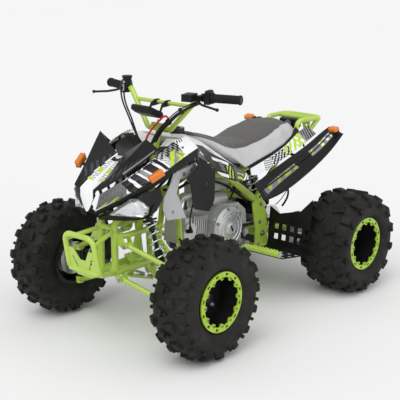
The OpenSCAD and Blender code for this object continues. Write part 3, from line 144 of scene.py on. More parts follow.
floor_mesh = bmesh.new()
bmesh.ops.create_circle(floor_mesh, cap_ends=True, segments=96, radius=60)
floor_data = bpy.data.meshes.new("floor")
floor_mesh.to_mesh(floor_data)
floor_mesh.free()
floor = bpy.data.objects.new("floor", floor_data)
scene.collection.objects.link(floor)
print("camera looks along", [round(v, 3) for v in sight])

# %% [markdown]
# A finish is more than a colour. Each one here starts from the same recipe: a base colour that drifts a little
# over the surface, a roughness that drifts with it, and a fine grain as bump. The recipe reads Object coordinates,
# which are metres on this model, so a scale of 900 is a grain of about a millimetre.


# %% A recipe for finishes
def add_node(tree, kind, inputs=(), **settings):
    made = tree.nodes.new("ShaderNode" + kind)
    for key, value in settings.items():
        setattr(made, key, value)
    for socket, value in inputs:
        if isinstance(value, bpy.types.NodeSocket):
            tree.links.new(value, made.inputs[socket])
        else:
            made.inputs[socket].default_value = value
    return made


def noise(tree, where, scale, detail=3.0):
    return add_node(tree, "TexNoise", [("Vector", where), ("Scale", scale), ("Detail", detail)]).outputs["Fac"]


def blend_colour(tree, factor, a, b):
    return add_node(tree, "Mix", [(0, factor), (6, a), (7, b)], data_type="RGBA").outputs[2]


def spread(tree, value, low, high, to_low, to_high):
    inputs = [("Value", value), ("From Min", low), ("From Max", high), ("To Min", to_low), ("To Max", to_high)]
    return add_node(tree, "MapRange", inputs).outputs[0]


def finish(name, colour, roughness, metallic=0.0, coat=0.0, drift=0.1, drift_scale=14, grain_scale=900,
           grain_depth=0.00004, dust=0.0, sheen_level=0.5):
    made = bpy.data.materials.new(name)
    made.use_nodes = True
    tree = made.node_tree
    shader = tree.nodes["Principled BSDF"]
    shader.inputs["Metallic"].default_value = metallic
    shader.inputs["Coat Weight"].default_value = coat
    shader.inputs["Specular IOR Level"].default_value = sheen_level
    where = add_node(tree, "TexCoord").outputs["Object"]
    clouds = noise(tree, where, drift_scale)
    darker = [c * (1 - drift) for c in colour] + [1]
    lighter = [min(c * (1 + drift), 1) for c in colour] + [1]
    tint = blend_colour(tree, spread(tree, clouds, 0.35, 0.65, 0.0, 1.0), darker, lighter)
    if dust:
        patches = spread(tree, noise(tree, where, drift_scale * 3, 5.0), 0.5, 0.75, 0.0, dust)
        tint = blend_colour(tree, patches, tint, [0.3, 0.28, 0.25, 1])
    tree.links.new(tint, shader.inputs["Base Color"])
    tree.links.new(spread(tree, noise(tree, where, drift_scale * 4), 0.3, 0.7, roughness - 0.05, roughness + 0.07),
                   shader.inputs["Roughness"])
    bump = add_node(tree, "Bump", [("Height", noise(tree, where, grain_scale, 2.0)), ("Distance", grain_depth),
                                   ("Strength", 1.0)])
    tree.links.new(bump.outputs[0], shader.inputs["Normal"])
    return made


# %% [markdown]
# The frame is powder coated: a thick gloss that pulls over the welds with a slight orange peel. The covers are
# moulded in white or black, the engine is cast aluminium with a sandy skin, and the tyres are matt with a little
# grey bloom in the tread.

# %% The finishes of this vehicle
lime_paint = finish("lime_paint", (0.44, 0.62, 0.075), 0.32, coat=0.5, drift=0.06, grain_scale=260,
                    grain_depth=0.00012)
ring_paint = finish("ring_paint", (0.34, 0.53, 0.012), 0.3, coat=0.5, drift=0.06, grain_scale=300,
                    grain_depth=0.00008)
black_paint = finish("black_paint", (0.009, 0.009, 0.01), 0.36, coat=0.1, drift=0.25, grain_scale=420,
                     grain_depth=0.00008, sheen_level=0.25)
black_plastic = finish("black_plastic", (0.009, 0.009, 0.009), 0.4, drift=0.25, grain_scale=1500,
                       grain_depth=0.00006, sheen_level=0.22)
gloss_black = finish("gloss_black", (0.008, 0.008, 0.009), 0.16, coat=0.15, drift=0.3, grain_scale=500,
                     grain_depth=0.00002, sheen_level=0.4)
panel_grey = finish("panel_grey", (0.55, 0.56, 0.57), 0.45, drift=0.05, grain_scale=1200, grain_depth=0.0001)
grip_rubber = finish("grip_rubber", (0.01, 0.0095, 0.009), 0.6, drift=0.2, grain_scale=2200,
                     grain_depth=0.0003, sheen_level=0.25)
tyre_rubber = finish("tyre_rubber", (0.0125, 0.012, 0.0105), 0.6, drift=0.3, drift_scale=9, grain_scale=1300,
                     grain_depth=0.0003, dust=0.04, sheen_level=0.2)
cast_alloy = finish("cast_alloy", (0.60, 0.61, 0.60), 0.42, metallic=0.5, drift=0.08, grain_scale=900,
                    grain_depth=0.0001)
machined = finish("machined", (0.66, 0.67, 0.68), 0.28, metallic=0.8, drift=0.04, grain_scale=1600,
                  grain_depth=0.000004)
chrome = finish("chrome", (0.74, 0.75, 0.76), 0.12, metallic=1.0, drift=0.04, grain_scale=800, grain_depth=0.00002)
zinc = finish("zinc", (0.46, 0.47, 0.47), 0.38, metallic=1.0, drift=0.14, drift_scale=60, grain_scale=1500, grain_depth=0.0001)
dark_steel = finish("dark_steel", (0.09, 0.09, 0.09), 0.4, metallic=0.9, drift=0.2, drift_scale=40, grain_scale=900,
                    grain_depth=0.0001)
exhaust_black = finish("exhaust_black", (0.03, 0.03, 0.031), 0.5, metallic=0.4, drift=0.3, drift_scale=30,
                       grain_scale=900, grain_depth=0.0002)
cable_black = finish("cable_black", (0.009, 0.009, 0.009), 0.4, drift=0.2, grain_scale=1800,
                     grain_depth=0.0001, sheen_level=0.3)
strap_red = finish("strap_red", (0.5, 0.01, 0.015), 0.55, drift=0.1, grain_scale=2500, grain_depth=0.0002)
floor_finish = finish("floor_finish", (0.86, 0.86, 0.86), 0.9, drift=0.004, drift_scale=0.6, grain_scale=40, grain_depth=0.0)
floor_data.materials.append(floor_finish)


def lens_finish(name, colour, transmission, roughness):
    made = finish(name, colour, roughness, coat=0.4, drift=0.05, grain_scale=260, grain_depth=0.0003)
    shader = made.node_tree.nodes["Principled BSDF"]
    shader.inputs["Transmission Weight"].default_value = transmission
    shader.inputs["IOR"].default_value = 1.46
    return made


clear_lens = lens_finish("clear_lens", (0.92, 0.94, 0.96), 0.92, 0.08)
amber_lens = lens_finish("amber_lens", (0.95, 0.26, 0.01), 0.25, 0.16)
red_lens = lens_finish("red_lens", (0.45, 0.03, 0.025), 0.3, 0.16)
smoke_lens = lens_finish("smoke_lens", (0.22, 0.22, 0.21), 0.3, 0.12)
print("finishes:", len(bpy.data.materials))

# %% [markdown]
# The covers carry printed film: shards, halftone dots and checks in black, grey and lime on white. A printed shape
# is a convex area seen from the side. The shader tests a point against each edge of the area and multiplies the
# answers, so the print has a crisp edge at any size and needs no image. Sideways distance is taken without its
# sign, which prints both sides alike.


# %% Printed areas
WHITE, BLACK, LIME = (0.84, 0.85, 0.86), (0.008, 0.008, 0.009), (0.46, 0.66, 0.03)
GREY, DARK = (0.26, 0.26, 0.27), (0.05, 0.05, 0.055)


def print_frame(tree):
    where = add_node(tree, "TexCoord").outputs["Object"]
    parts = add_node(tree, "SeparateXYZ", [(0, where)])
    side = add_node(tree, "Math", [(0, parts.outputs[1])], operation="ABSOLUTE").outputs[0]
    both = add_node(tree, "CombineXYZ", [(0, parts.outputs[0]), (1, side), (2, parts.outputs[2])]).outputs[0]
    flat = add_node(tree, "CombineXYZ", [(0, parts.outputs[0]), (2, parts.outputs[2])]).outputs[0]
    return both, flat


def area_mask(tree, where, corners, top_view=False):
    points = [Vector(((c[0] + DRAWING_SHIFT) / 1000, c[1] / 1000)) for c in corners]
    middle = sum(points, Vector((0, 0))) / len(points)
    mask = None
    for a, b in zip(points, points[1:] + points[:1]):
        normal = Vector((b.y - a.y, a.x - b.x))
        if normal.dot(middle - a) < 0:
            normal.negate()
        normal.normalize()
        axis = (normal.x, normal.y, 0) if top_view else (normal.x, 0, normal.y)
        reach = add_node(tree, "VectorMath", [(0, where), (1, axis)], operation="DOT_PRODUCT").outputs["Value"]
        inside = add_node(tree, "Math", [(0, reach), (1, normal.dot(a))], operation="GREATER_THAN").outputs[0]
        mask = inside if mask is None else add_node(tree, "Math", [(0, mask), (1, inside)], operation="MULTIPLY").outputs[0]
    return mask


def pattern_mask(tree, flat, pattern):
    kind, size = pattern
    if kind == "dots":
        cells = add_node(tree, "TexVoronoi", [("Vector", flat), ("Scale", 1000 / size), ("Randomness", 0.0)])
        return add_node(tree, "Math", [(0, cells.outputs["Distance"]), (1, 0.36)], operation="LESS_THAN").outputs[0]
    if kind == "checks":
        return add_node(tree, "TexChecker", [("Vector", flat), ("Scale", 1000 / size)]).outputs["Fac"]
    tilt = (0.8, 0, 0.6) if kind == "strokes" else (0.45, 0, -0.9)
    along = add_node(tree, "VectorMath", [(0, flat), (1, [t * 1000 / size for t in tilt])], operation="DOT_PRODUCT")
    wobble = add_node(tree, "Math", [(0, along.outputs["Value"]), (1, noise(tree, flat, 24))], operation="ADD").outputs[0]
    share = add_node(tree, "Math", [(0, wobble)], operation="FRACT").outputs[0]
    return add_node(tree, "Math", [(0, share), (1, 0.45)], operation="LESS_THAN").outputs[0]


def printed(name, base, areas, roughness=0.28, coat=0.1, sheen_level=0.25):
    made = finish(name, base, roughness, coat=coat, drift=0.02, grain_scale=500, grain_depth=0.00003,
                  sheen_level=sheen_level)
    tree = made.node_tree
    shader = tree.nodes["Principled BSDF"]
    both, flat = print_frame(tree)
    tint = shader.inputs["Base Color"].links[0].from_socket
    for colour, corners, *rest in areas:
        mask = area_mask(tree, both, corners, "top" in rest)
        for pattern in (r for r in rest if r != "top"):
            extra = pattern_mask(tree, flat, pattern)
            mask = add_node(tree, "Math", [(0, mask), (1, extra)], operation="MULTIPLY").outputs[0]
        tint = blend_colour(tree, mask, tint, list(colour) + [1])
    tree.links.new(tint, shader.inputs["Base Color"])
    return made


# %% [markdown]
# The side covers of the nose are white with a dark tip, a row of bold slanted blocks, a checked band along the
# upper edge and lime splinters behind. The tank's side has a dark field with light splinters. All of it is plain
# geometry: no letter or mark stands anywhere.

# %% Prints of the covers
side_print = printed("side_print", WHITE, [
    (GREY, [(735, 560), (735, 640), (640, 676), (636, 612)]),
    (BLACK, [(735, 560), (735, 640), (630, 680), (640, 622)], ("dots", 4.6)),
    (LIME, [(716, 566), (716, 584), (662, 612), (654, 598)], ("strokes", 16)),
    (WHITE, [(735, 548), (735, 561), (560, 655), (560, 646)]),
    (BLACK, [(628, 628), (652, 664), (626, 676), (604, 640)]),
    (BLACK, [(592, 646), (616, 682), (590, 694), (568, 658)]),
    (GREY, [(560, 662), (582, 697), (566, 705), (545, 669)]),
    (BLACK, [(536, 674), (560, 710), (530, 726), (508, 688)]),
    (BLACK, [(496, 694), (520, 732), (506, 740), (484, 701)]),
    (DARK, [(478, 704), (500, 744), (470, 762), (462, 716)], ("dots", 5)),
    (BLACK, [(640, 680), (636, 668), (440, 762), (440, 782)], ("checks", 6)),
    (GREY, [(470, 716), (470, 770), (400, 800), (400, 748)]),
    (BLACK, [(470, 744), (470, 770), (350, 812), (350, 784)], ("checks", 8)),
    (LIME, [(476, 704), (480, 744), (424, 768), (416, 732)], ("strokes", 22)),
    (LIME, [(430, 724), (434, 752), (388, 772), (384, 748)], ("lines", 18)),
    (WHITE, [(396, 726), (396, 830), (300, 830), (300, 740)]),
    (BLACK, [(360, 790), (340, 812), (430, 800), (470, 770)], ("strokes", 9))])
tank_print = printed("tank_print", WHITE, [
    (BLACK, [(330, 776), (206, 606), (150, 590), (158, 690), (232, 748)]),
    (WHITE, [(296, 738), (206, 622), (198, 628), (286, 742)]),
    (BLACK, [(210, 616), (14, 545), (-58, 590), (86, 664), (190, 716)]),
    (WHITE, [(196, 700), (70, 650), (74, 640), (192, 686)]),
    (WHITE, [(186, 640), (98, 608), (104, 596), (186, 628)]),
    (GREY, [(150, 676), (120, 664), (112, 622), (142, 634)], ("lines", 9)),
    (LIME, [(104, 600), (96, 650), (54, 632), (60, 582)], ("strokes", 22)),
    (GREY, [(54, 580), (44, 632), (-44, 596), (10, 562)], ("dots", 5)),
    (LIME, [(40, 574), (28, 604), (-16, 588), (8, 562)], ("lines", 20)),
    (WHITE, [(6, 556), (-54, 590), (-50, 596), (12, 562)]),
    (BLACK, [(228, 742), (196, 716), (150, 700), (166, 718)], ("strokes", 9))])
apron_print = printed("apron_print", WHITE, [
    (BLACK, [(420, 700), (420, 800), (356, 800), (368, 700)])])
hood_print = printed("hood_print", WHITE, [
    (BLACK, [(745, 34), (745, 60), (660, 54), (660, 40)], "top"),
    (GREY, [(690, 12), (690, 50), (560, 40), (560, 0)], "top", ("dots", 6)),
    (LIME, [(690, 14), (690, 44), (600, 40), (610, 8)], "top", ("strokes", 24)),
    (BLACK, [(600, 0), (600, 40), (548, 30), (548, 0)], "top", ("strokes", 14))])
cowl_print = printed("cowl_print", WHITE, [
    (BLACK, [(-150, 560), (-150, 622), (-330, 664), (-330, 590)], ("dots", 9)),
    (BLACK, [(-220, 560), (-200, 630), (-330, 664), (-350, 600)], ("strokes", 16)),
    (LIME, [(-300, 606), (-290, 662), (-440, 700), (-450, 640)], ("strokes", 26)),
    (WHITE, [(-60, 640), (-60, 600), (-420, 690), (-420, 730)]),
    (LIME, [(-390, 640), (-380, 684), (-480, 704), (-480, 656)], ("lines", 22)),
    (GREY, [(-452, 640), (-440, 720), (-560, 740), (-560, 650)]),
    (BLACK, [(-470, 650), (-450, 716), (-560, 740), (-560, 650)], ("strokes", 12))])
wing_print = printed("wing_print", (0.009, 0.009, 0.01), [
    (GREY, [(-90, 204), (-96, 224), (-300, 236), (-296, 212)], "top"),
    (LIME, [(-110, 206), (-116, 222), (-296, 234), (-292, 214)], "top", ("strokes", 34)),
    (DARK, [(-84, 204), (-84, 226), (-300, 236), (-300, 212)], "top", ("dots", 6)),
    (GREY, [(-400, 210), (-396, 238), (-560, 244), (-560, 214)], "top"),
    (LIME, [(-410, 212), (-406, 236), (-556, 242), (-556, 216)], "top", ("strokes", 40)),
    (WHITE, [(-470, 214), (-466, 236), (-544, 240), (-544, 218)], "top", ("lines", 30))],
    roughness=0.34, coat=0.0, sheen_level=0.22)
horn_print = printed("horn_print", (0.008, 0.008, 0.009), [
    (DARK, [(700, 690), (690, 674), (560, 740), (560, 752)], ("strokes", 12)),
    (GREY, [(640, 700), (636, 694), (500, 766), (500, 772)])], roughness=0.3, coat=0.0, sheen_level=0.25)

# %% [markdown]
# A CAD node whose shape is right only needs its finish. Assigning to the material slots of the node's object does
# that without touching its mesh.

# %% Finishes on the CAD nodes
node_finishes = {
    lime_paint: "frame_rails frame_braces seat_frame bumper rack upper_arms lower_arms swing_arm foot_rests handlebar",
    ring_paint: "bead_ring_left bead_ring_right rear_bead_rings",
    black_paint: "knuckle_left knuckle_right rim_left rim_right rear_rims brackets front_dampers rear_damper",
    black_plastic: "nose knee_panels heel_guards controls display",
    grip_rubber: "grips",
    cast_alloy: "engine cylinder_block carburettor",
    machined: "hub_left hub_right rear_axle rear_disc",
    zinc: "tie_rod_left tie_rod_right pedals sprocket",
    dark_steel: "chain",
    exhaust_black: "exhaust",
    panel_grey: "guard_plates",
    gloss_black: "filler_cap",
    smoke_lens: "tail_lamp",
}
for material, names in node_finishes.items():
    for name in names.split():
        nodes[name].data.materials.clear()
        nodes[name].data.materials.append(material)
print("nodes finished:", sum(len(n.split()) for n in node_finishes.values()))

# %% [markdown]
# Every new piece is a bmesh that becomes an object, gets a finish and rides on a body. Edges sharper than 35 degrees
# stay sharp, and the rest shade smoothly.


# %% Helpers for new pieces
def piece(name, shape, material, body="chassis", replaces=(), sharp=35):
    data = bpy.data.meshes.new(name)
    shape.to_mesh(data)
    shape.free()
    data.shade_smooth()
    data.set_sharp_from_angle(angle=math.radians(sharp))
    data.materials.append(material)
    made = bpy.data.objects.new(name, data)
    scene.collection.objects.link(made)
    if body:
        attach(made, body)
    if replaces:
        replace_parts(made, *replaces)
    return made


def turn_to(direction):
    return Vector(direction).to_track_quat("Z", "Y").to_matrix().to_4x4()


def rod(shape, start, end, radius, sides=20, end_radius=None):
    start, end = Vector(start), Vector(end)
    spot = Matrix.Translation((start + end) / 2) @ turn_to(end - start)
    return bmesh.ops.create_cone(shape, cap_ends=True, segments=sides, radius1=radius,
                                 radius2=radius if end_radius is None else end_radius,
                                 depth=(end - start).length, matrix=spot)["verts"]


def block(shape, centre, size, turn=Matrix.Identity(4)):
    spot = Matrix.Translation(centre) @ turn @ Matrix.Diagonal((*size, 1))
    return bmesh.ops.create_cube(shape, size=1, matrix=spot)["verts"]


def edges_of(verts):
    inside = set(verts)
    return [e for e in {e for v in verts for e in v.link_edges} if all(v in inside for v in e.verts)]


def round_edges(shape, verts, width, segments=2, angle=25):
    edges = [e for e in edges_of(verts) if e.calc_face_angle(0) > math.radians(angle)]
    bmesh.ops.bevel(shape, geom=edges, offset=width, offset_type="OFFSET", affect="EDGES", segments=segments,
                    profile=0.5, material=-1, clamp_overlap=True)


# %% [markdown]
# The covers are moulded shells. Their CAD solids are grids of flat facets, which is the right cage for a
# subdivision surface: the facets' doubles are merged, pairs of triangles become quads, and the rim keeps a full
# crease so that the shell stays three millimetres thick with a crisp edge.


# %% Moulded covers from the CAD cages
def moulded(name, cage, material, levels=2, crease_angle=48):
    shape = bmesh.new()
    shape.from_mesh(nodes[cage].data)
    bmesh.ops.remove_doubles(shape, verts=shape.verts, dist=0.00002)
    bmesh.ops.join_triangles(shape, faces=shape.faces, angle_face_threshold=math.radians(38),
                             angle_shape_threshold=math.radians(70))
    crease = shape.edges.layers.float.new("crease_edge")
    for edge in shape.edges:
        if edge.calc_face_angle(0) > math.radians(crease_angle):
            edge[crease] = 1.0
    made = piece(name, shape, material, replaces=[cage], sharp=50)
    surface = made.modifiers.new("surface", "SUBSURF")
    surface.levels = surface.render_levels = levels
    return made


# The white apron closes the tank cover towards the front, with room for the steering stem in its middle.
APRON_REAR = [(320, 28, 777), (320, 70, 781), (320, 115, 787), (320, 141, 780)]
APRON_FRONT = [(399, 28, 724), (399, 70, 733), (399, 118, 770), (399, 138, 786)]


def edge_line(shape, points):
    verts = [shape.verts.new(point) for point in points]
    return [shape.edges.new(pair) for pair in zip(verts, verts[1:])]


def joined_lines(name, pairs, thickness, material):
    shape = bmesh.new()
    for first, second in pairs:
        lines = edge_line(shape, first) + edge_line(shape, second)
        bmesh.ops.bridge_loops(shape, edges=lines)
    bmesh.ops.recalc_face_normals(shape, faces=shape.faces)
    bmesh.ops.solidify(shape, geom=shape.faces[:], thickness=thickness)
    bmesh.ops.recalc_face_normals(shape, faces=shape.faces)
    return piece(name, shape, material)


joined_lines("tank_apron", [([place(x, side * y, z) for x, y, z in APRON_REAR],
                             [place(x, side * y, z) for x, y, z in APRON_FRONT]) for side in (-1, 1)],
             0.0025, apron_print)
covers = [
    moulded("hood_cover", "hood", hood_print),
    moulded("horn_covers", "horns", horn_print),
    moulded("side_covers", "front_sides", side_print),
    moulded("tank_shell", "tank_cover", tank_print),
    moulded("cowl_covers", "rear_cowl", cowl_print),
    moulded("wing_covers", "rear_wings", wing_print),
]
print("covers:", [c.name for c in covers])

# %% [markdown]
# A quad's balloon tyre is a round-shouldered carcass with tall rubber blocks. The carcass is a drawn section spun
# about the axle. Each block starts as a cube, is narrowed towards its top, bevelled, and set round the tyre. The
# front tyres have paired square blocks for steering; the rear ones have long slanted bars for grip.

# %% Tyre measures
RIM_RADIUS, LUG_HEIGHT = 0.1015, 0.013


def section_point(angle, half_width, half_height, middle):
    def blunt(value):
        return math.copysign(abs(value) ** 0.62, value)
    return middle + half_height * blunt(math.sin(angle)), half_width * blunt(math.cos(angle))


def carcass_section(radius, width, rim_half):
    top, low = radius - LUG_HEIGHT, RIM_RADIUS + 0.008
    middle, half_height, half_width = (top + low) / 2, (top - low) / 2, width / 2 - 0.004
    bead = rim_half - 0.0044
    outer = [section_point(math.radians(t), half_width, half_height, middle) for t in range(-42, 223, 8)]
    return [(RIM_RADIUS + 0.0005, bead), (RIM_RADIUS + 0.0125, bead), *outer, (RIM_RADIUS + 0.0125, -bead),
            (RIM_RADIUS + 0.0005, -bead)]


# %% Build a tyre
def add_lug(shape, centre, angle, y, size, reach, skew, tilt, taper=0.84):
    length, width = size
    height = LUG_HEIGHT + 0.008
    local = (Matrix.Translation(centre) @ Matrix.Rotation(angle, 4, "Y") @ Matrix.Translation((0, y, reach - height))
             @ Matrix.Rotation(-tilt, 4, "X") @ Matrix.Rotation(skew, 4, "Z"))
    verts = bmesh.ops.create_cube(shape, size=1)["verts"]
    for vert in verts:
        top = vert.co.z > 0
        vert.co.x *= length * (taper if top else 1)
        vert.co.y *= width * (taper if top else 1)
        vert.co.z = height if top else 0
        if vert.co.x > 0:
            vert.co.x += 0.005 if vert.co.y * skew > 0 else -0.002
    bmesh.ops.transform(shape, matrix=local, verts=verts)
    return verts


def add_carcass(shape, centre, radius, width, rim_half):
    section = [shape.verts.new(centre + Vector((0, y, r))) for r, y in carcass_section(radius, width, rim_half)]
    edges = [shape.edges.new(pair) for pair in zip(section, section[1:])]
    bmesh.ops.spin(shape, geom=section + edges, cent=centre, axis=(0, 1, 0), angle=math.tau, steps=120, use_merge=True)


def tyre(name, sides, rows, bars, body, cages):
    shape = bmesh.new()
    lugs = []
    for centre, radius, width, rim_half in sides:
        add_carcass(shape, centre, radius, width, rim_half)
        for row in range(rows):
            for side in (-1, 1):
                start = (row + (0.5 if side > 0 else 0)) * math.tau / rows
                for turn, across, size, drop, skew, tilt in bars:
                    lugs += add_lug(shape, centre, start + turn * math.tau / rows, side * across * width, size,
                                    radius - drop, math.radians(skew * side), math.radians(tilt * side))
    round_edges(shape, lugs, 0.0022, segments=1)
    bmesh.ops.recalc_face_normals(shape, faces=shape.faces)
    made = piece(name, shape, tyre_rubber, body, replaces=cages, sharp=32)
    print(name, "faces", len(made.data.polygons))
    return made


# Each block: place along the pitch, place across, length and width, drop of its top, skew and tilt.
FRONT_BLOCKS = [(0, 0.14, (0.034, 0.034), 0, 14, 0), (0.5, 0.355, (0.036, 0.030), 0.010, -8, 25),
                (0.5, 0.02, (0.012, 0.020), 0.003, 0, 0), (0.02, 0.43, (0.016, 0.016), 0.026, 0, 52)]
REAR_BLOCKS = [(0, 0.16, (0.036, 0.062), 0, 26, 0), (0.4, 0.365, (0.038, 0.044), 0.009, 12, 19),
               (0.42, 0.455, (0.026, 0.020), 0.032, 6, 58)]
left_front, right_front = FRONT_AXLE, mirrored(FRONT_AXLE)
tyre("front_tyre_left", [(left_front, 0.2415, 0.180, 0.074)], 16, FRONT_BLOCKS, "front_wheel_l", ["tyre_left"])
tyre("front_tyre_right", [(right_front, 0.2415, 0.180, 0.074)], 16, FRONT_BLOCKS, "front_wheel_r", ["tyre_right"])
tyre("rear_tyre_pair", [(REAR_AXLE, 0.229, 0.240, 0.093), (mirrored(REAR_AXLE), 0.229, 0.240, 0.093)], 14,
     REAR_BLOCKS, "rear_wheels", ["rear_tyres"])

# %% [markdown]
# The bead ring is bolted through each of its twelve lobes. A washer and a six-sided head on every lobe, a rubber
# valve and a pressed cap over the hub finish the wheel.


# %% Wheel fittings
def wheel_fittings(name, centre, side, ring_y, hub_y, body):
    shape = bmesh.new()
    outward = Vector((0, side, 0))
    for k in range(12):
        angle = k * math.tau / 12
        spot = centre + Vector((math.cos(angle), 0, math.sin(angle))) * (RIM_RADIUS - 0.006) + outward * ring_y
        rod(shape, spot, spot + outward * 0.0016, 0.0066, 20)
        head = rod(shape, spot + outward * 0.0016, spot + outward * 0.0062, 0.0046, 6)
        round_edges(shape, head, 0.0005, segments=1)
    piece(name + "_ring_bolts", shape, dark_steel, body)
    trim = bmesh.new()
    cap = rod(trim, centre + outward * hub_y, centre + outward * (hub_y + 0.012), 0.0262, 40, end_radius=0.022)
    round_edges(trim, cap, 0.002)
    foot = centre + Vector((0.075, 0, 0.03)) + outward * (hub_y - 0.018)
    rod(trim, foot, foot + outward * 0.026, 0.0042, 14)
    rod(trim, foot + outward * 0.026, foot + outward * 0.033, 0.0052, 12)
    piece(name + "_cap_and_valve", trim, black_plastic, body)


wheel_fittings("wheel_fl", left_front, 1, 0.0785, 0.0062, "front_wheel_l")
wheel_fittings("wheel_fr", right_front, -1, 0.0785, 0.0062, "front_wheel_r")
wheel_fittings("wheel_rl", REAR_AXLE, 1, 0.0975, 0.0122, "rear_wheels")
wheel_fittings("wheel_rr", mirrored(REAR_AXLE), -1, 0.0975, 0.0122, "rear_wheels")

# %% [markdown]
# A coil spring is a helix, which a curve draws with few points: the spline runs round the damper and a bevel
# gives it its wire. Smooth handles make it round, where the CAD solid has a six-sided wire.


# %% Springs and hoses as curves
def curve_piece(name, points, radius, material, body="chassis", closed=False, resolution=3, steps=4):
    data = bpy.data.curves.new(name, "CURVE")
    data.dimensions = "3D"
    data.bevel_depth = radius
    data.bevel_resolution = resolution
    data.resolution_u = data.render_resolution_u = steps
    data.use_fill_caps = True
    spline = data.splines.new("NURBS")
    spline.points.add(len(points) - 1)
    for slot_point, point in zip(spline.points, points):
        slot_point.co = (*point, 1)
    spline.order_u = 4
    spline.use_endpoint_u = True
    data.materials.append(material)
    curve = bpy.data.objects.new(name, data)
    scene.collection.objects.link(curve)
    bpy.context.view_layer.update()
    mesh = bpy.data.meshes.new_from_object(curve.evaluated_get(bpy.context.evaluated_depsgraph_get()))
    bpy.data.objects.remove(curve)
    made = bpy.data.objects.new(name, mesh)
    mesh.shade_smooth()
    mesh.set_sharp_from_angle(angle=math.radians(50))
    scene.collection.objects.link(made)
    if body:
        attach(made, body)
    return made


def coil_points(foot, top, start, end, radius, wire, turns):
    axis = (top - foot).normalized()
    low, high = foot + axis * start, top - axis * end
    across = axis.orthogonal().normalized()
    beside = axis.cross(across)
    length = (high - low).length - wire
    points = []
    for i in range(turns * 14 + 1):
        angle, share = i * math.tau / 14, i / (turns * 14)
        eased = min(max((share - 0.06) / 0.88, 0), 1)
        points.append(low + axis * (wire / 2 + length * eased) + (across * math.cos(angle) + beside * math.sin(angle)) * radius)
    return points


front_foot, front_top = place(520, 226, 212), place(520, 112, 520)
rear_foot, rear_top = place(-345, 0, 318), place(-238, 0, 563)
left_coil = coil_points(front_foot, front_top, 0.0425, 0.0305, 0.0255, 0.008, 9)
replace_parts(curve_piece("front_spring_left", left_coil, 0.004, chrome), "front_springs")
curve_piece("front_spring_right", [mirrored(p) for p in left_coil], 0.004, chrome)
rear_coil = coil_points(rear_foot, rear_top, 0.0425, 0.0305, 0.0255, 0.009, 7)
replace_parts(curve_piece("rear_spring_coil", rear_coil, 0.0045, chrome), "rear_spring")

# %% [markdown]
# The seat is a padded vinyl cover: a dark, grippy top and lighter sides that meet in a welded seam. Its solid is
# shrunk a little, remeshed and blown up as cloth under light pressure, so that it crowns between its edges. The
# swelling is capped, because foam under a tight cover hardly bulges.

# %% Seat as stretched cloth
SEAT_CAP = 0.005


def seat_mesh():
    shape = bmesh.new()
    shape.from_mesh(nodes["seat"].data)
    bmesh.ops.remove_doubles(shape, verts=shape.verts, dist=0.00002)
    bmesh.ops.recalc_face_normals(shape, faces=shape.faces)
    return shape


def rest_points(obj):
    return [v.co.copy() for v in obj.data.vertices]


def apply_modifiers(obj):
    bpy.context.view_layer.update()
    mesh = bpy.data.meshes.new_from_object(obj.evaluated_get(bpy.context.evaluated_depsgraph_get()))
    obj.modifiers.clear()
    obj.data = mesh


seat = piece("seat_pad", seat_mesh(), black_plastic, replaces=["seat"], sharp=180)
remesh = seat.modifiers.new("even_skin", "REMESH")
remesh.mode = "VOXEL"
remesh.voxel_size = 0.006
apply_modifiers(seat)
before = rest_points(seat)
shape = bmesh.new()
shape.from_mesh(seat.data)
shape.normal_update()
for vert in shape.verts:
    vert.co -= vert.normal * 0.003
for _ in range(6):
    bmesh.ops.smooth_vert(shape, verts=shape.verts, factor=0.5, use_axis_x=True, use_axis_y=True, use_axis_z=True)
shape.to_mesh(seat.data)
shape.free()
cloth = seat.modifiers.new("cover", "CLOTH")
cloth.settings.use_pressure = True
cloth.settings.uniform_pressure_force = 4
cloth.settings.effector_weights.gravity = 0
for frame_number in range(1, 21):
    scene.frame_set(frame_number)
apply_modifiers(seat)
scene.frame_set(1)
for vert, start in zip(seat.data.vertices, before):
    step = vert.co - start
    if step.length > SEAT_CAP:
        vert.co = start + step * (SEAT_CAP / step.length)
finer = seat.modifiers.new("finer", "SUBSURF")
finer.levels = finer.render_levels = 1
apply_modifiers(seat)
seat.data.shade_smooth()
print("seat faces:", len(seat.data.polygons))

# %% [markdown]
# The seam's height changes along the seat. A colour ramp can hold such a line: position along the seat goes in, and
# height comes out. The shader then compares each point's height with it and picks the dark or the light vinyl. Close
# to the seam it darkens both tones as painted shade in the seam's groove.

# %% Vinyl in two tones, with painted shade along the seam
SEAM_LINE = [(-460, 742), (-345, 748), (-252, 724), (-133, 694), (-32, 684), (54, 712), (110, 744), (165, 768)]
SEAM_LOW, SEAM_HIGH = 0.6, 0.85


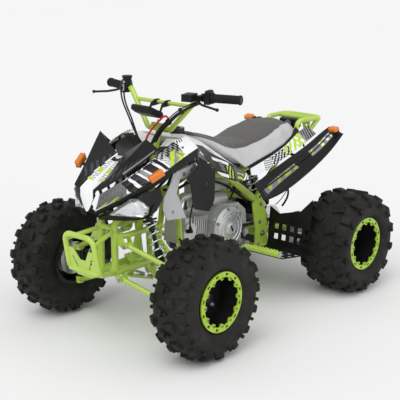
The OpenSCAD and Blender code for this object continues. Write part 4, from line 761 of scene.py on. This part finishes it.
def vinyl():
    made = finish("seat_vinyl", (0.5, 0.5, 0.51), 0.5, coat=0.1, drift=0.04, grain_scale=420, grain_depth=0.0003)
    tree = made.node_tree
    shader = tree.nodes["Principled BSDF"]
    parts = add_node(tree, "SeparateXYZ", [(0, add_node(tree, "TexCoord").outputs["Object"])])
    first, last = place(SEAM_LINE[0][0], 0, 0).x, place(SEAM_LINE[-1][0], 0, 0).x
    share = spread(tree, parts.outputs[0], first, last, 0.0, 1.0)
    ramp = add_node(tree, "ValToRGB", [(0, share)])
    ramp.color_ramp.interpolation = "B_SPLINE"
    stops = ramp.color_ramp.elements
    for i, (x, z) in enumerate(SEAM_LINE):
        at = (place(x, 0, 0).x - first) / (last - first)
        stop = stops[i] if i < 2 else stops.new(at)
        stop.position = at
        grey = (z / 1000 - SEAM_LOW) / (SEAM_HIGH - SEAM_LOW)
        stop.color = (grey, grey, grey, 1)
    height = spread(tree, ramp.outputs[0], 0.0, 1.0, SEAM_LOW, SEAM_HIGH)
    above = add_node(tree, "Math", [(0, parts.outputs[2]), (1, height)], operation="SUBTRACT").outputs[0]
    dark = spread(tree, above, -0.0006, 0.0006, 0.0, 1.0)
    tint = blend_colour(tree, dark, shader.inputs["Base Color"].links[0].from_socket, [0.085, 0.083, 0.08, 1])
    # Painted shade: the vinyl is darkened in a narrow band along the seam, as shade in its groove.
    seam_groove_shade = spread(tree, add_node(tree, "Math", [(0, above)], operation="ABSOLUTE").outputs[0], 0.0009, 0.0022, 0.35, 1.0)
    shaded = add_node(tree, "Mix", [(0, 1.0), (6, tint), (7, seam_groove_shade)], data_type="RGBA", blend_type="MULTIPLY").outputs[2]
    tree.links.new(shaded, shader.inputs["Base Color"])
    return made


seat.data.materials.clear()
seat.data.materials.append(vinyl())

# %% [markdown]
# A row of stitches runs beside the seam. Rays from each side find the seat's skin along that line, and a short
# thread lies on it at every step.

# %% Stitches along the seam
skin = BVHTree.FromObject(seat, bpy.context.evaluated_depsgraph_get())
thread = bmesh.new()
spots = []
for side in (-1, 1):
    line = []
    for (x0, z0), (x1, z1) in zip(SEAM_LINE[1:], SEAM_LINE[2:]):
        for k in range(14):
            t = k / 14
            origin = place(x0 + (x1 - x0) * t, side * 300, z0 + (z1 - z0) * t - 5)
            hit, normal, _, _ = skin.ray_cast(origin, Vector((0, -side, 0)))
            if hit is not None and abs(hit.y) > 0.03:
                line.append((hit, normal))
    for (a, n), (b, _) in zip(line[::1], line[1::1]):
        if (b - a).length < 0.03:
            rod(thread, a.lerp(b, 0.18) + n * 0.0004, a.lerp(b, 0.78) + n * 0.0004, 0.0007, 6)
            spots.append(a)
piece("seat_stitches", thread, panel_grey)
print("stitches:", len(spots))

# %% [markdown]
# Each headlamp is a bright stepped reflector behind a clear cover. The cover and the reflector both start from the
# CAD lamp: the reflector is drawn in towards the lamp's middle, and the cover gets rounded edges.

# %% Headlamps
def lamp_copy(shrink):
    shape = bmesh.new()
    shape.from_mesh(nodes["headlamps"].data)
    bmesh.ops.remove_doubles(shape, verts=shape.verts, dist=0.00002)
    for side in (-1, 1):
        verts = [v for v in shape.verts if v.co.y * side > 0]
        middle = sum((v.co for v in verts), Vector()) / len(verts)
        for vert in verts:
            vert.co = middle + (vert.co - middle) * shrink
    return shape


cover_shape = lamp_copy(1.0)
round_edges(cover_shape, list(cover_shape.verts), 0.0025, 2, 30)
piece("headlamp_covers", cover_shape, clear_lens, replaces=["headlamps"], sharp=60)
reflector_shape = lamp_copy(0.86)
bmesh.ops.subdivide_edges(reflector_shape, edges=reflector_shape.edges, cuts=3, use_grid_fill=True)
reflector_shape.normal_update()
for index, vert in enumerate(reflector_shape.verts):
    vert.co += vert.normal * (0.002 * math.sin(index * 2.4))
piece("headlamp_reflectors", reflector_shape, chrome, sharp=12)
rims = bmesh.new()
for side in (-1, 1):
    spot = place(622, side * 168, 572)
    out = Vector((0.55, 0.8 * side, 0.12)).normalized()
    rod(rims, spot + out * 0.002, spot + out * 0.0075, 0.021, 36, end_radius=0.024)
piece("headlamp_bowls", rims, machined)

# %% [markdown]
# The turn lamps are amber blocks on rubber stalks. The ribs across each lens catch the light as they do on the
# real moulding.

# %% Turn lamps
stalks, lenses = bmesh.new(), bmesh.new()
for side in (-1, 1):
    rod(stalks, place(562, side * 150, 652), place(572, side * 206, 690), 0.0065)
    rod(stalks, place(-545, side * 240, 650), place(-550, side * 243, 710), 0.006)
    for centre, size, turn in (
            (place(572, side * 210, 695), (0.062, 0.024, 0.028),
             Matrix.Rotation(math.radians(-20 * side), 4, "Z") @ Matrix.Rotation(math.radians(27), 4, "Y")),
            (place(-546, side * 243, 715), (0.032, 0.042, 0.018), Matrix.Rotation(math.radians(15), 4, "Y"))):
        round_edges(lenses, block(lenses, centre, size, turn), 0.0045, 3)
        for k in range(-3, 4):
            rib = (Matrix.Translation(centre) @ turn @ Matrix.Translation((k * size[0] / 8, 0, 0))).translation
            round_edges(lenses, block(lenses, rib, (0.0012, size[1] + 0.0012, size[2] - 0.008), turn), 0.0004, 1)
        base = (Matrix.Translation(centre) @ turn @ Matrix.Translation((0, 0, -size[2] / 2))).translation
        round_edges(stalks, block(stalks, base, (size[0] * 0.96, size[1] * 0.96, 0.005), turn), 0.0015)
piece("turn_lamp_stalks", stalks, black_plastic, replaces=["turn_lamps"])
piece("turn_lamp_lenses", lenses, amber_lens)

# %% [markdown]
# Bolt heads hold the story of how a vehicle is assembled: where two pieces meet, there is one. Each head here has
# a washer, six flats and a chamfer.


# %% Bolt heads
def bolt(shape, spot, outward, radius=0.0062, height=0.005):
    outward = Vector(outward).normalized()
    spot = Vector(spot)
    rod(shape, spot, spot + outward * 0.0014, radius * 1.5, 18)
    head = rod(shape, spot + outward * 0.0014, spot + outward * height, radius, 6)
    round_edges(shape, head, radius * 0.12, 1)


frame_bolts = bmesh.new()
for side in (-1, 1):
    for x in (610, 446):
        for end in (-1, 1):
            bolt(frame_bolts, place(x + end * 21.5, side * 54, 262), (end, 0, 0))
            bolt(frame_bolts, place(x + end * 21.5, side * 87, 406), (end, 0, 0))
    for end in (-1, 1):
        bolt(frame_bolts, place(520 + end * 20, side * 112, 520), (end, 0, 0), 0.007)
        bolt(frame_bolts, place(520 + end * 18.5, side * 226, 212), (end, 0, 0), 0.007)
    bolt(frame_bolts, place(-215, side * 104, 276), (0, side, 0), 0.0085, 0.008)
    for x, z in ((-205, 410), (-200, 330), (-190, 225)):
        bolt(frame_bolts, place(x, side * 100, z), (0, side, 0))
    for x, z in ((300, 660), (345, 652), (408, 508)):
        bolt(frame_bolts, place(x, side * 142, z), (0, side, 0), 0.005, 0.004)
    bolt(frame_bolts, place(-40, side * 337, 264), (0, side, 0), 0.007, 0.002)
    bolt(frame_bolts, place(-238, side * 20, 563), (0, side, 0), 0.007)
piece("frame_bolts", frame_bolts, zinc)

panel_screws = bmesh.new()
for side in (-1, 1):
    for x, y, z, out in ((18, 171.5, 566, (0, 1, 0.3)), (-40, 168, 572, (0, 1, 0.3)), (300, 176, 712, (0, 1, 0)),
                         (210, 176, 505, (0, 1, 0)), (250, 176, 600, (0, 1, 0)), (-420, 170, 650, (0, 1, 0.2))):
        bolt(panel_screws, place(x, side * y, z), (out[0], out[1] * side, out[2]), 0.0045, 0.0035)
piece("panel_screws", panel_screws, dark_steel)
print("bolts set")

# %% [markdown]
# The engine's castings are dressed with what a fitter would touch: cover screws round the flywheel cover, a plug
# in its middle whose slot is a black bar of painted shade, a spark plug with its cap and lead, and a fuel hose.

# %% Engine fittings
screws = bmesh.new()
cover_middle = place(16, 111, 350)
for k in range(6):
    angle = k * math.tau / 6 + 0.4
    spot = cover_middle + Vector((math.cos(angle), 0, math.sin(angle))) * 0.084
    rod(screws, spot - Vector((0, 0.006, 0)), spot + Vector((0, 0.002, 0)), 0.0062, 24)
    rod(screws, spot, spot + Vector((0, 0.0045, 0)), 0.0042, 6)
for x, z in ((-60, 270), (60, 262), (92, 300), (96, 392), (-74, 372), (-52, 420)):
    bolt(screws, place(x, 91, z), (0, 1, 0), 0.0045)
    bolt(screws, place(x, -104 if abs(x + 10) < 70 else -66, z), (0, -1, 0), 0.0045)
piece("engine_screws", screws, zinc)

# Each step of the turned cover: radius and height over the casting.
COVER_STEPS = [(0.078, 0.0002), (0.0765, 0.0032), (0.071, 0.0042), (0.068, 0.0026), (0.060, 0.0026), (0.0585, 0.0062),
               (0.050, 0.0066), (0.048, 0.0048), (0.026, 0.0048), (0.0242, 0.0104), (0.0205, 0.0112), (0.019, 0.0098),
               (0.0, 0.0098)]
rings = bmesh.new()
profile = [rings.verts.new(cover_middle + Vector((radius, height, 0))) for radius, height in COVER_STEPS]
profile_edges = [rings.edges.new(pair) for pair in zip(profile, profile[1:])]
bmesh.ops.spin(rings, geom=profile + profile_edges, cent=cover_middle, axis=(0, 1, 0), angle=math.tau, steps=96,
               use_merge=True)
bmesh.ops.remove_doubles(rings, verts=rings.verts, dist=0.00002)
bmesh.ops.recalc_face_normals(rings, faces=rings.faces)
piece("cover_rings", rings, machined, sharp=20)
plug = bmesh.new()
# Painted shade: the plug's slot is a raised black bar standing for the shade in a cut slot.
bar = block(plug, place(16, 121.4, 350), (0.030, 0.0024, 0.0085), Matrix.Rotation(math.radians(-60), 4, "Y"))
round_edges(plug, bar, 0.0008)
piece("plug_slot_painted_shade", plug, black_plastic)

spark = bmesh.new()
rod(spark, place(238, 40, 372), place(240, 62, 376), 0.007, 6)
rod(spark, place(239, 52, 374), place(242, 92, 382), 0.0095, 20, end_radius=0.008)
rod(spark, place(242, 86, 380), place(252, 92, 402), 0.008, 20, end_radius=0.006)
piece("spark_plug_cap", spark, grip_rubber)


def hose(name, points, diameter, material=cable_black, body="chassis"):
    return curve_piece(name, [place(*p) for p in points], diameter / 2000, material, body)


hose("plug_lead", [(252, 92, 402), (258, 94, 430), (240, 88, 480), (190, 70, 520), (150, 50, 560), (120, 46, 590)], 7)
hose("fuel_hose", [(128, 28, 500), (120, 52, 508), (96, 62, 540), (92, 58, 590), (110, 50, 640)], 8)
hose("breather_hose", [(-60, 40, 446), (-66, 52, 480), (-96, 58, 510), (-150, 56, 530), (-190, 48, 560)], 9)
hose("wing_hose", [(-226, 150, 520), (-262, 158, 506), (-300, 164, 496), (-326, 166, 462), (-322, 160, 420),
                   (-296, 150, 392)], 9)
hose("brake_pipe", [(-330, 166, 486), (-300, 158, 440), (-280, 140, 404), (-300, 110, 392)], 4)
hose("oil_cooler_pipe", [(104, 60, 300), (170, 84, 290), (240, 104, 300), (300, 108, 330), (330, 104, 372)], 9)
hose("wiring_loom", [(330, 70, 560), (250, 78, 600), (130, 78, 574), (20, 74, 548), (-90, 70, 472), (-150, 70, 430)], 12)

# %% [markdown]
# The swept bars carry the controls. Small parts give them scale: buttons and a rocker on the left housing, a thumb
# throttle on the right one, pivot bolts through the levers, lids with screws on the fluid boxes, and a clamp with
# four bolts over the stem.

# %% Controls
GRIP_END, BAR_BEND = Vector((255, 354, 958)), Vector((303, 185, 957))


def on_bar(side, distance, offset=(0, 0, 0)):
    along = (BAR_BEND - GRIP_END).normalized()
    spot = GRIP_END + along * distance
    return place(spot.x + offset[0], side * spot.y + offset[1], spot.z + offset[2])


cockpit, bright, touches = bmesh.new(), bmesh.new(), bmesh.new()
for side in (-1, 1):
    turned = Matrix.Rotation(math.radians(16 * side), 4, "Z")
    housing = block(cockpit, on_bar(side, 133, (-2, 0, 6)), (0.044, 0.0236, 0.050), turned)
    round_edges(cockpit, housing, 0.007, 3)
    for distance in (121.5, 144):
        a, b = on_bar(side, distance), on_bar(side, distance + 1.6)
        rod(cockpit, a, b, 0.0235, 40)
    for height in (-6, 6):
        bolt(bright, on_bar(side, 153, (-16.8, 0, height)), (-1, 0, 0), 0.0035)
    pivot = on_bar(side, 156, (34, 0, 2))
    rod(bright, pivot - Vector((0, 0, 0.012)), pivot + Vector((0, 0, 0.0135)), 0.0045, 18)
    knob = on_bar(side, 133, (-22, 0, 14))
    rod(touches, knob, knob - Vector((0.006, 0, 0)), 0.0055, 24)
    end_cap = on_bar(side, -1.5)
    rod(cockpit, end_cap, on_bar(side, -5.5), 0.0185, 32, end_radius=0.015)
for x, y in ((344, 176), (380, 186), (348, 204), (384, 214)):
    lid = place(x - 2, y - 5, 977)
    rod(bright, lid, lid + Vector((0, 0, 0.0018)), 0.0028, 14)
lid_plate = block(cockpit, place(364, 190, 977.5), (0.060, 0.044, 0.004), Matrix.Rotation(math.radians(16), 4, "Z"))
round_edges(cockpit, lid_plate, 0.0012)
sight = on_bar(-1, 153, (27, 0, 24))
rod(bright, sight, sight + Vector((0.0016, 0, 0)), 0.006, 20)
throttle = block(cockpit, on_bar(-1, 122, (-24, 6, -16)), (0.040, 0.012, 0.008), Matrix.Rotation(math.radians(20), 4, "Y"))
round_edges(cockpit, throttle, 0.003)
rocker = block(touches, on_bar(1, 133, (-24.5, 0, -2)), (0.004, 0.012, 0.016))
round_edges(touches, rocker, 0.0012)
for x in (316, 338):
    for y in (-24, 24):
        bolt(bright, place(x, y, 835.3 + (327 - x) * 0.315), (-0.3, 0, 0.95), 0.0048, 0.008)
piece("control_housings", cockpit, black_plastic, "steering")
piece("control_screws", bright, zinc, "steering")
piece("control_buttons", touches, strap_red, "steering")

glass = bmesh.new()
pod_turn = Matrix.Rotation(math.radians(-25), 4, "Y")
slab = block(glass, place(401.6, 0, 893.7) + pod_turn @ Vector((0, 0, 0.0125)), (0.071, 0.083, 0.003), pod_turn)
round_edges(glass, slab, 0.0012)
piece("display_glass", glass, gloss_black, "steering")

# %% [markdown]
# Cables cross from the bars, which turn, to the front cover, which doesn't. Each one is a smooth curve between them
# and rides on no body. Beside the left bar they lie in a bundle held by two ties, and a red tether hangs from it.


# %% Cables between the bars and the body
def bending(made):
    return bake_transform(made)


CABLE_ROUTES = {
    "brake_cable": ([(327, -205, 945.5), (372, -160, 915), (396, -100, 872), (424, -50, 826), (430, -20, 780),
                     (408, -20, 742)], 7),
    "throttle_cable": ([(343, -206, 965), (400, -150, 930), (424, -90, 885), (440, -44, 830), (438, -14, 784),
                        (420, -10, 742)], 7),
    "switch_cable": ([(321, 207, 945), (360, 130, 900), (372, 60, 840), (404, 26, 790), (408, 20, 742)], 9)}
for name, (route, thickness) in CABLE_ROUTES.items():
    cable = curve_piece(name, [place(*p) for p in route], thickness / 2000, cable_black, None, steps=8)
    bending(cable)
    if name == "brake_cable":
        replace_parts(cable, "cables")
TETHER = [(364, 82, 852), (358, 74, 872), (366, 62, 884), (380, 46, 860), (398, 30, 834), (414, 16, 808),
          (424, 8, 780), (428, 6, 738)]
tether = curve_piece("switch_tether", [place(*p) for p in TETHER], 0.0042, strap_red, None, steps=6)
bending(tether)

# %% Left cable bundle
for k, (dx, dy, dz) in enumerate(((0, 0, 0), (9, 3, 4), (3, -6, 9), (-7, 5, 2))):
    run = [(314 + dx, 196 + dy, 934 + dz), (330 + dx, 152 + dy, 914 + dz), (354 + dx, 112 + dy, 888 + dz),
           (366 + dx, 74 + dy, 844 + dz), (388 + dx, 46 + dy, 812 + dz), (400 + dx, 34 + dy, 772 + dz)]
    bending(hose(f"bar_cable_{k}", run, (7, 6, 5, 6)[k], body=None))
ties = bmesh.new()
for a, b in (((340, 130, 904), (345, 122, 899)), ((364, 84, 859), (367, 78, 852))):
    rod(ties, place(*a), place(*b), 0.0135, 20)
bending(piece("cable_ties", ties, black_plastic, None))

# %% [markdown]
# Small pieces close the list: teeth on the foot rests, a lens bezel at the tail, and the lip that frames the tank's
# filler.

# %% Foot rests, tail and filler
pegs = bmesh.new()
for side in (-1, 1):
    for k in range(9):
        spot = place(-40, side * (196 + 15 * k), 276.8)
        tooth = block(pegs, spot, (0.020, 0.0026, 0.006))
        round_edges(pegs, tooth, 0.0008, 1)
piece("peg_teeth", pegs, lime_paint)

tail = bmesh.new()
tilt = Matrix.Rotation(math.radians(12), 4, "Y")
bezel = block(tail, place(-544, 0, 715.6), (0.030, 0.098, 0.044), tilt)
round_edges(tail, bezel, 0.004, 2)
piece("tail_lamp_housing", tail, black_plastic)
front_glass = bmesh.new()
rod(front_glass, place(-531, 0, 716), place(-524, 0, 716), 0.019, 40, end_radius=0.015)
piece("tail_lamp_front_glass", front_glass, smoke_lens)
lamp = bmesh.new()
face = block(lamp, place(-564.6, 0, 711.3), (0.0022, 0.086, 0.032), tilt)
round_edges(lamp, face, 0.0008, 1)
for k in range(-3, 4):
    rib = block(lamp, place(-566.5, k * 12, 711.5), (0.0024, 0.0015, 0.030), tilt)
    round_edges(lamp, rib, 0.0004, 1)
piece("tail_lamp_ribs", lamp, red_lens)
filler = bmesh.new()
lip = rod(filler, place(226, 0, 784), place(226, 0, 786), 0.033, 60)
round_edges(filler, lip, 0.0008)
vent = rod(filler, place(226, 0, 804), place(226, 0, 808), 0.011, 30, end_radius=0.009)
round_edges(filler, vent, 0.001)
piece("filler_trim", filler, black_plastic)

# %% [markdown]
# A moulded wing is stiff because its edges are rolled. A bead follows the lower edge of each rear wing and a rib
# its middle, and under the seat a black strip fills the slot above the rear cowl as painted shadow in the gap.

# %% Rolled edges and a painted shadow strip under the seat
WING_EDGE = [(-66, 226, 478), (-130, 250, 486), (-262, 268, 538), (-360, 272, 578), (-453, 272, 617),
             (-520, 272, 655), (-580, 268, 692)]
WING_RIB = [(-66, 200, 509), (-130, 212, 533), (-262, 222, 581), (-360, 226, 613), (-453, 226, 646),
            (-520, 226, 683), (-578, 230, 713)]
SLOT_EDGE = [(-62, 156, 604), (-125, 156, 618), (-220, 156, 638), (-320, 149, 664), (-400, 131, 688),
             (-470, 112, 703)]
for name, line, radius in (("wing_bead", WING_EDGE, 0.0045), ("wing_rib", WING_RIB, 0.003)):
    for side, label in ((1, "left"), (-1, "right")):
        curve_piece(f"{name}_{label}", [place(x, side * y, z) for x, y, z in line], radius, black_plastic)
# Painted shadow: a black strip stands for the shade in the gap between the seat and the rear cowl.
joined_lines("seat_gap_shadow_strip", [([place(x, side * (y - 3), z - 3) for x, y, z in SLOT_EDGE],
                                [place(x, side * (y - 24), z + 13) for x, y, z in SLOT_EDGE]) for side in (-1, 1)],
             0.0025, black_plastic)
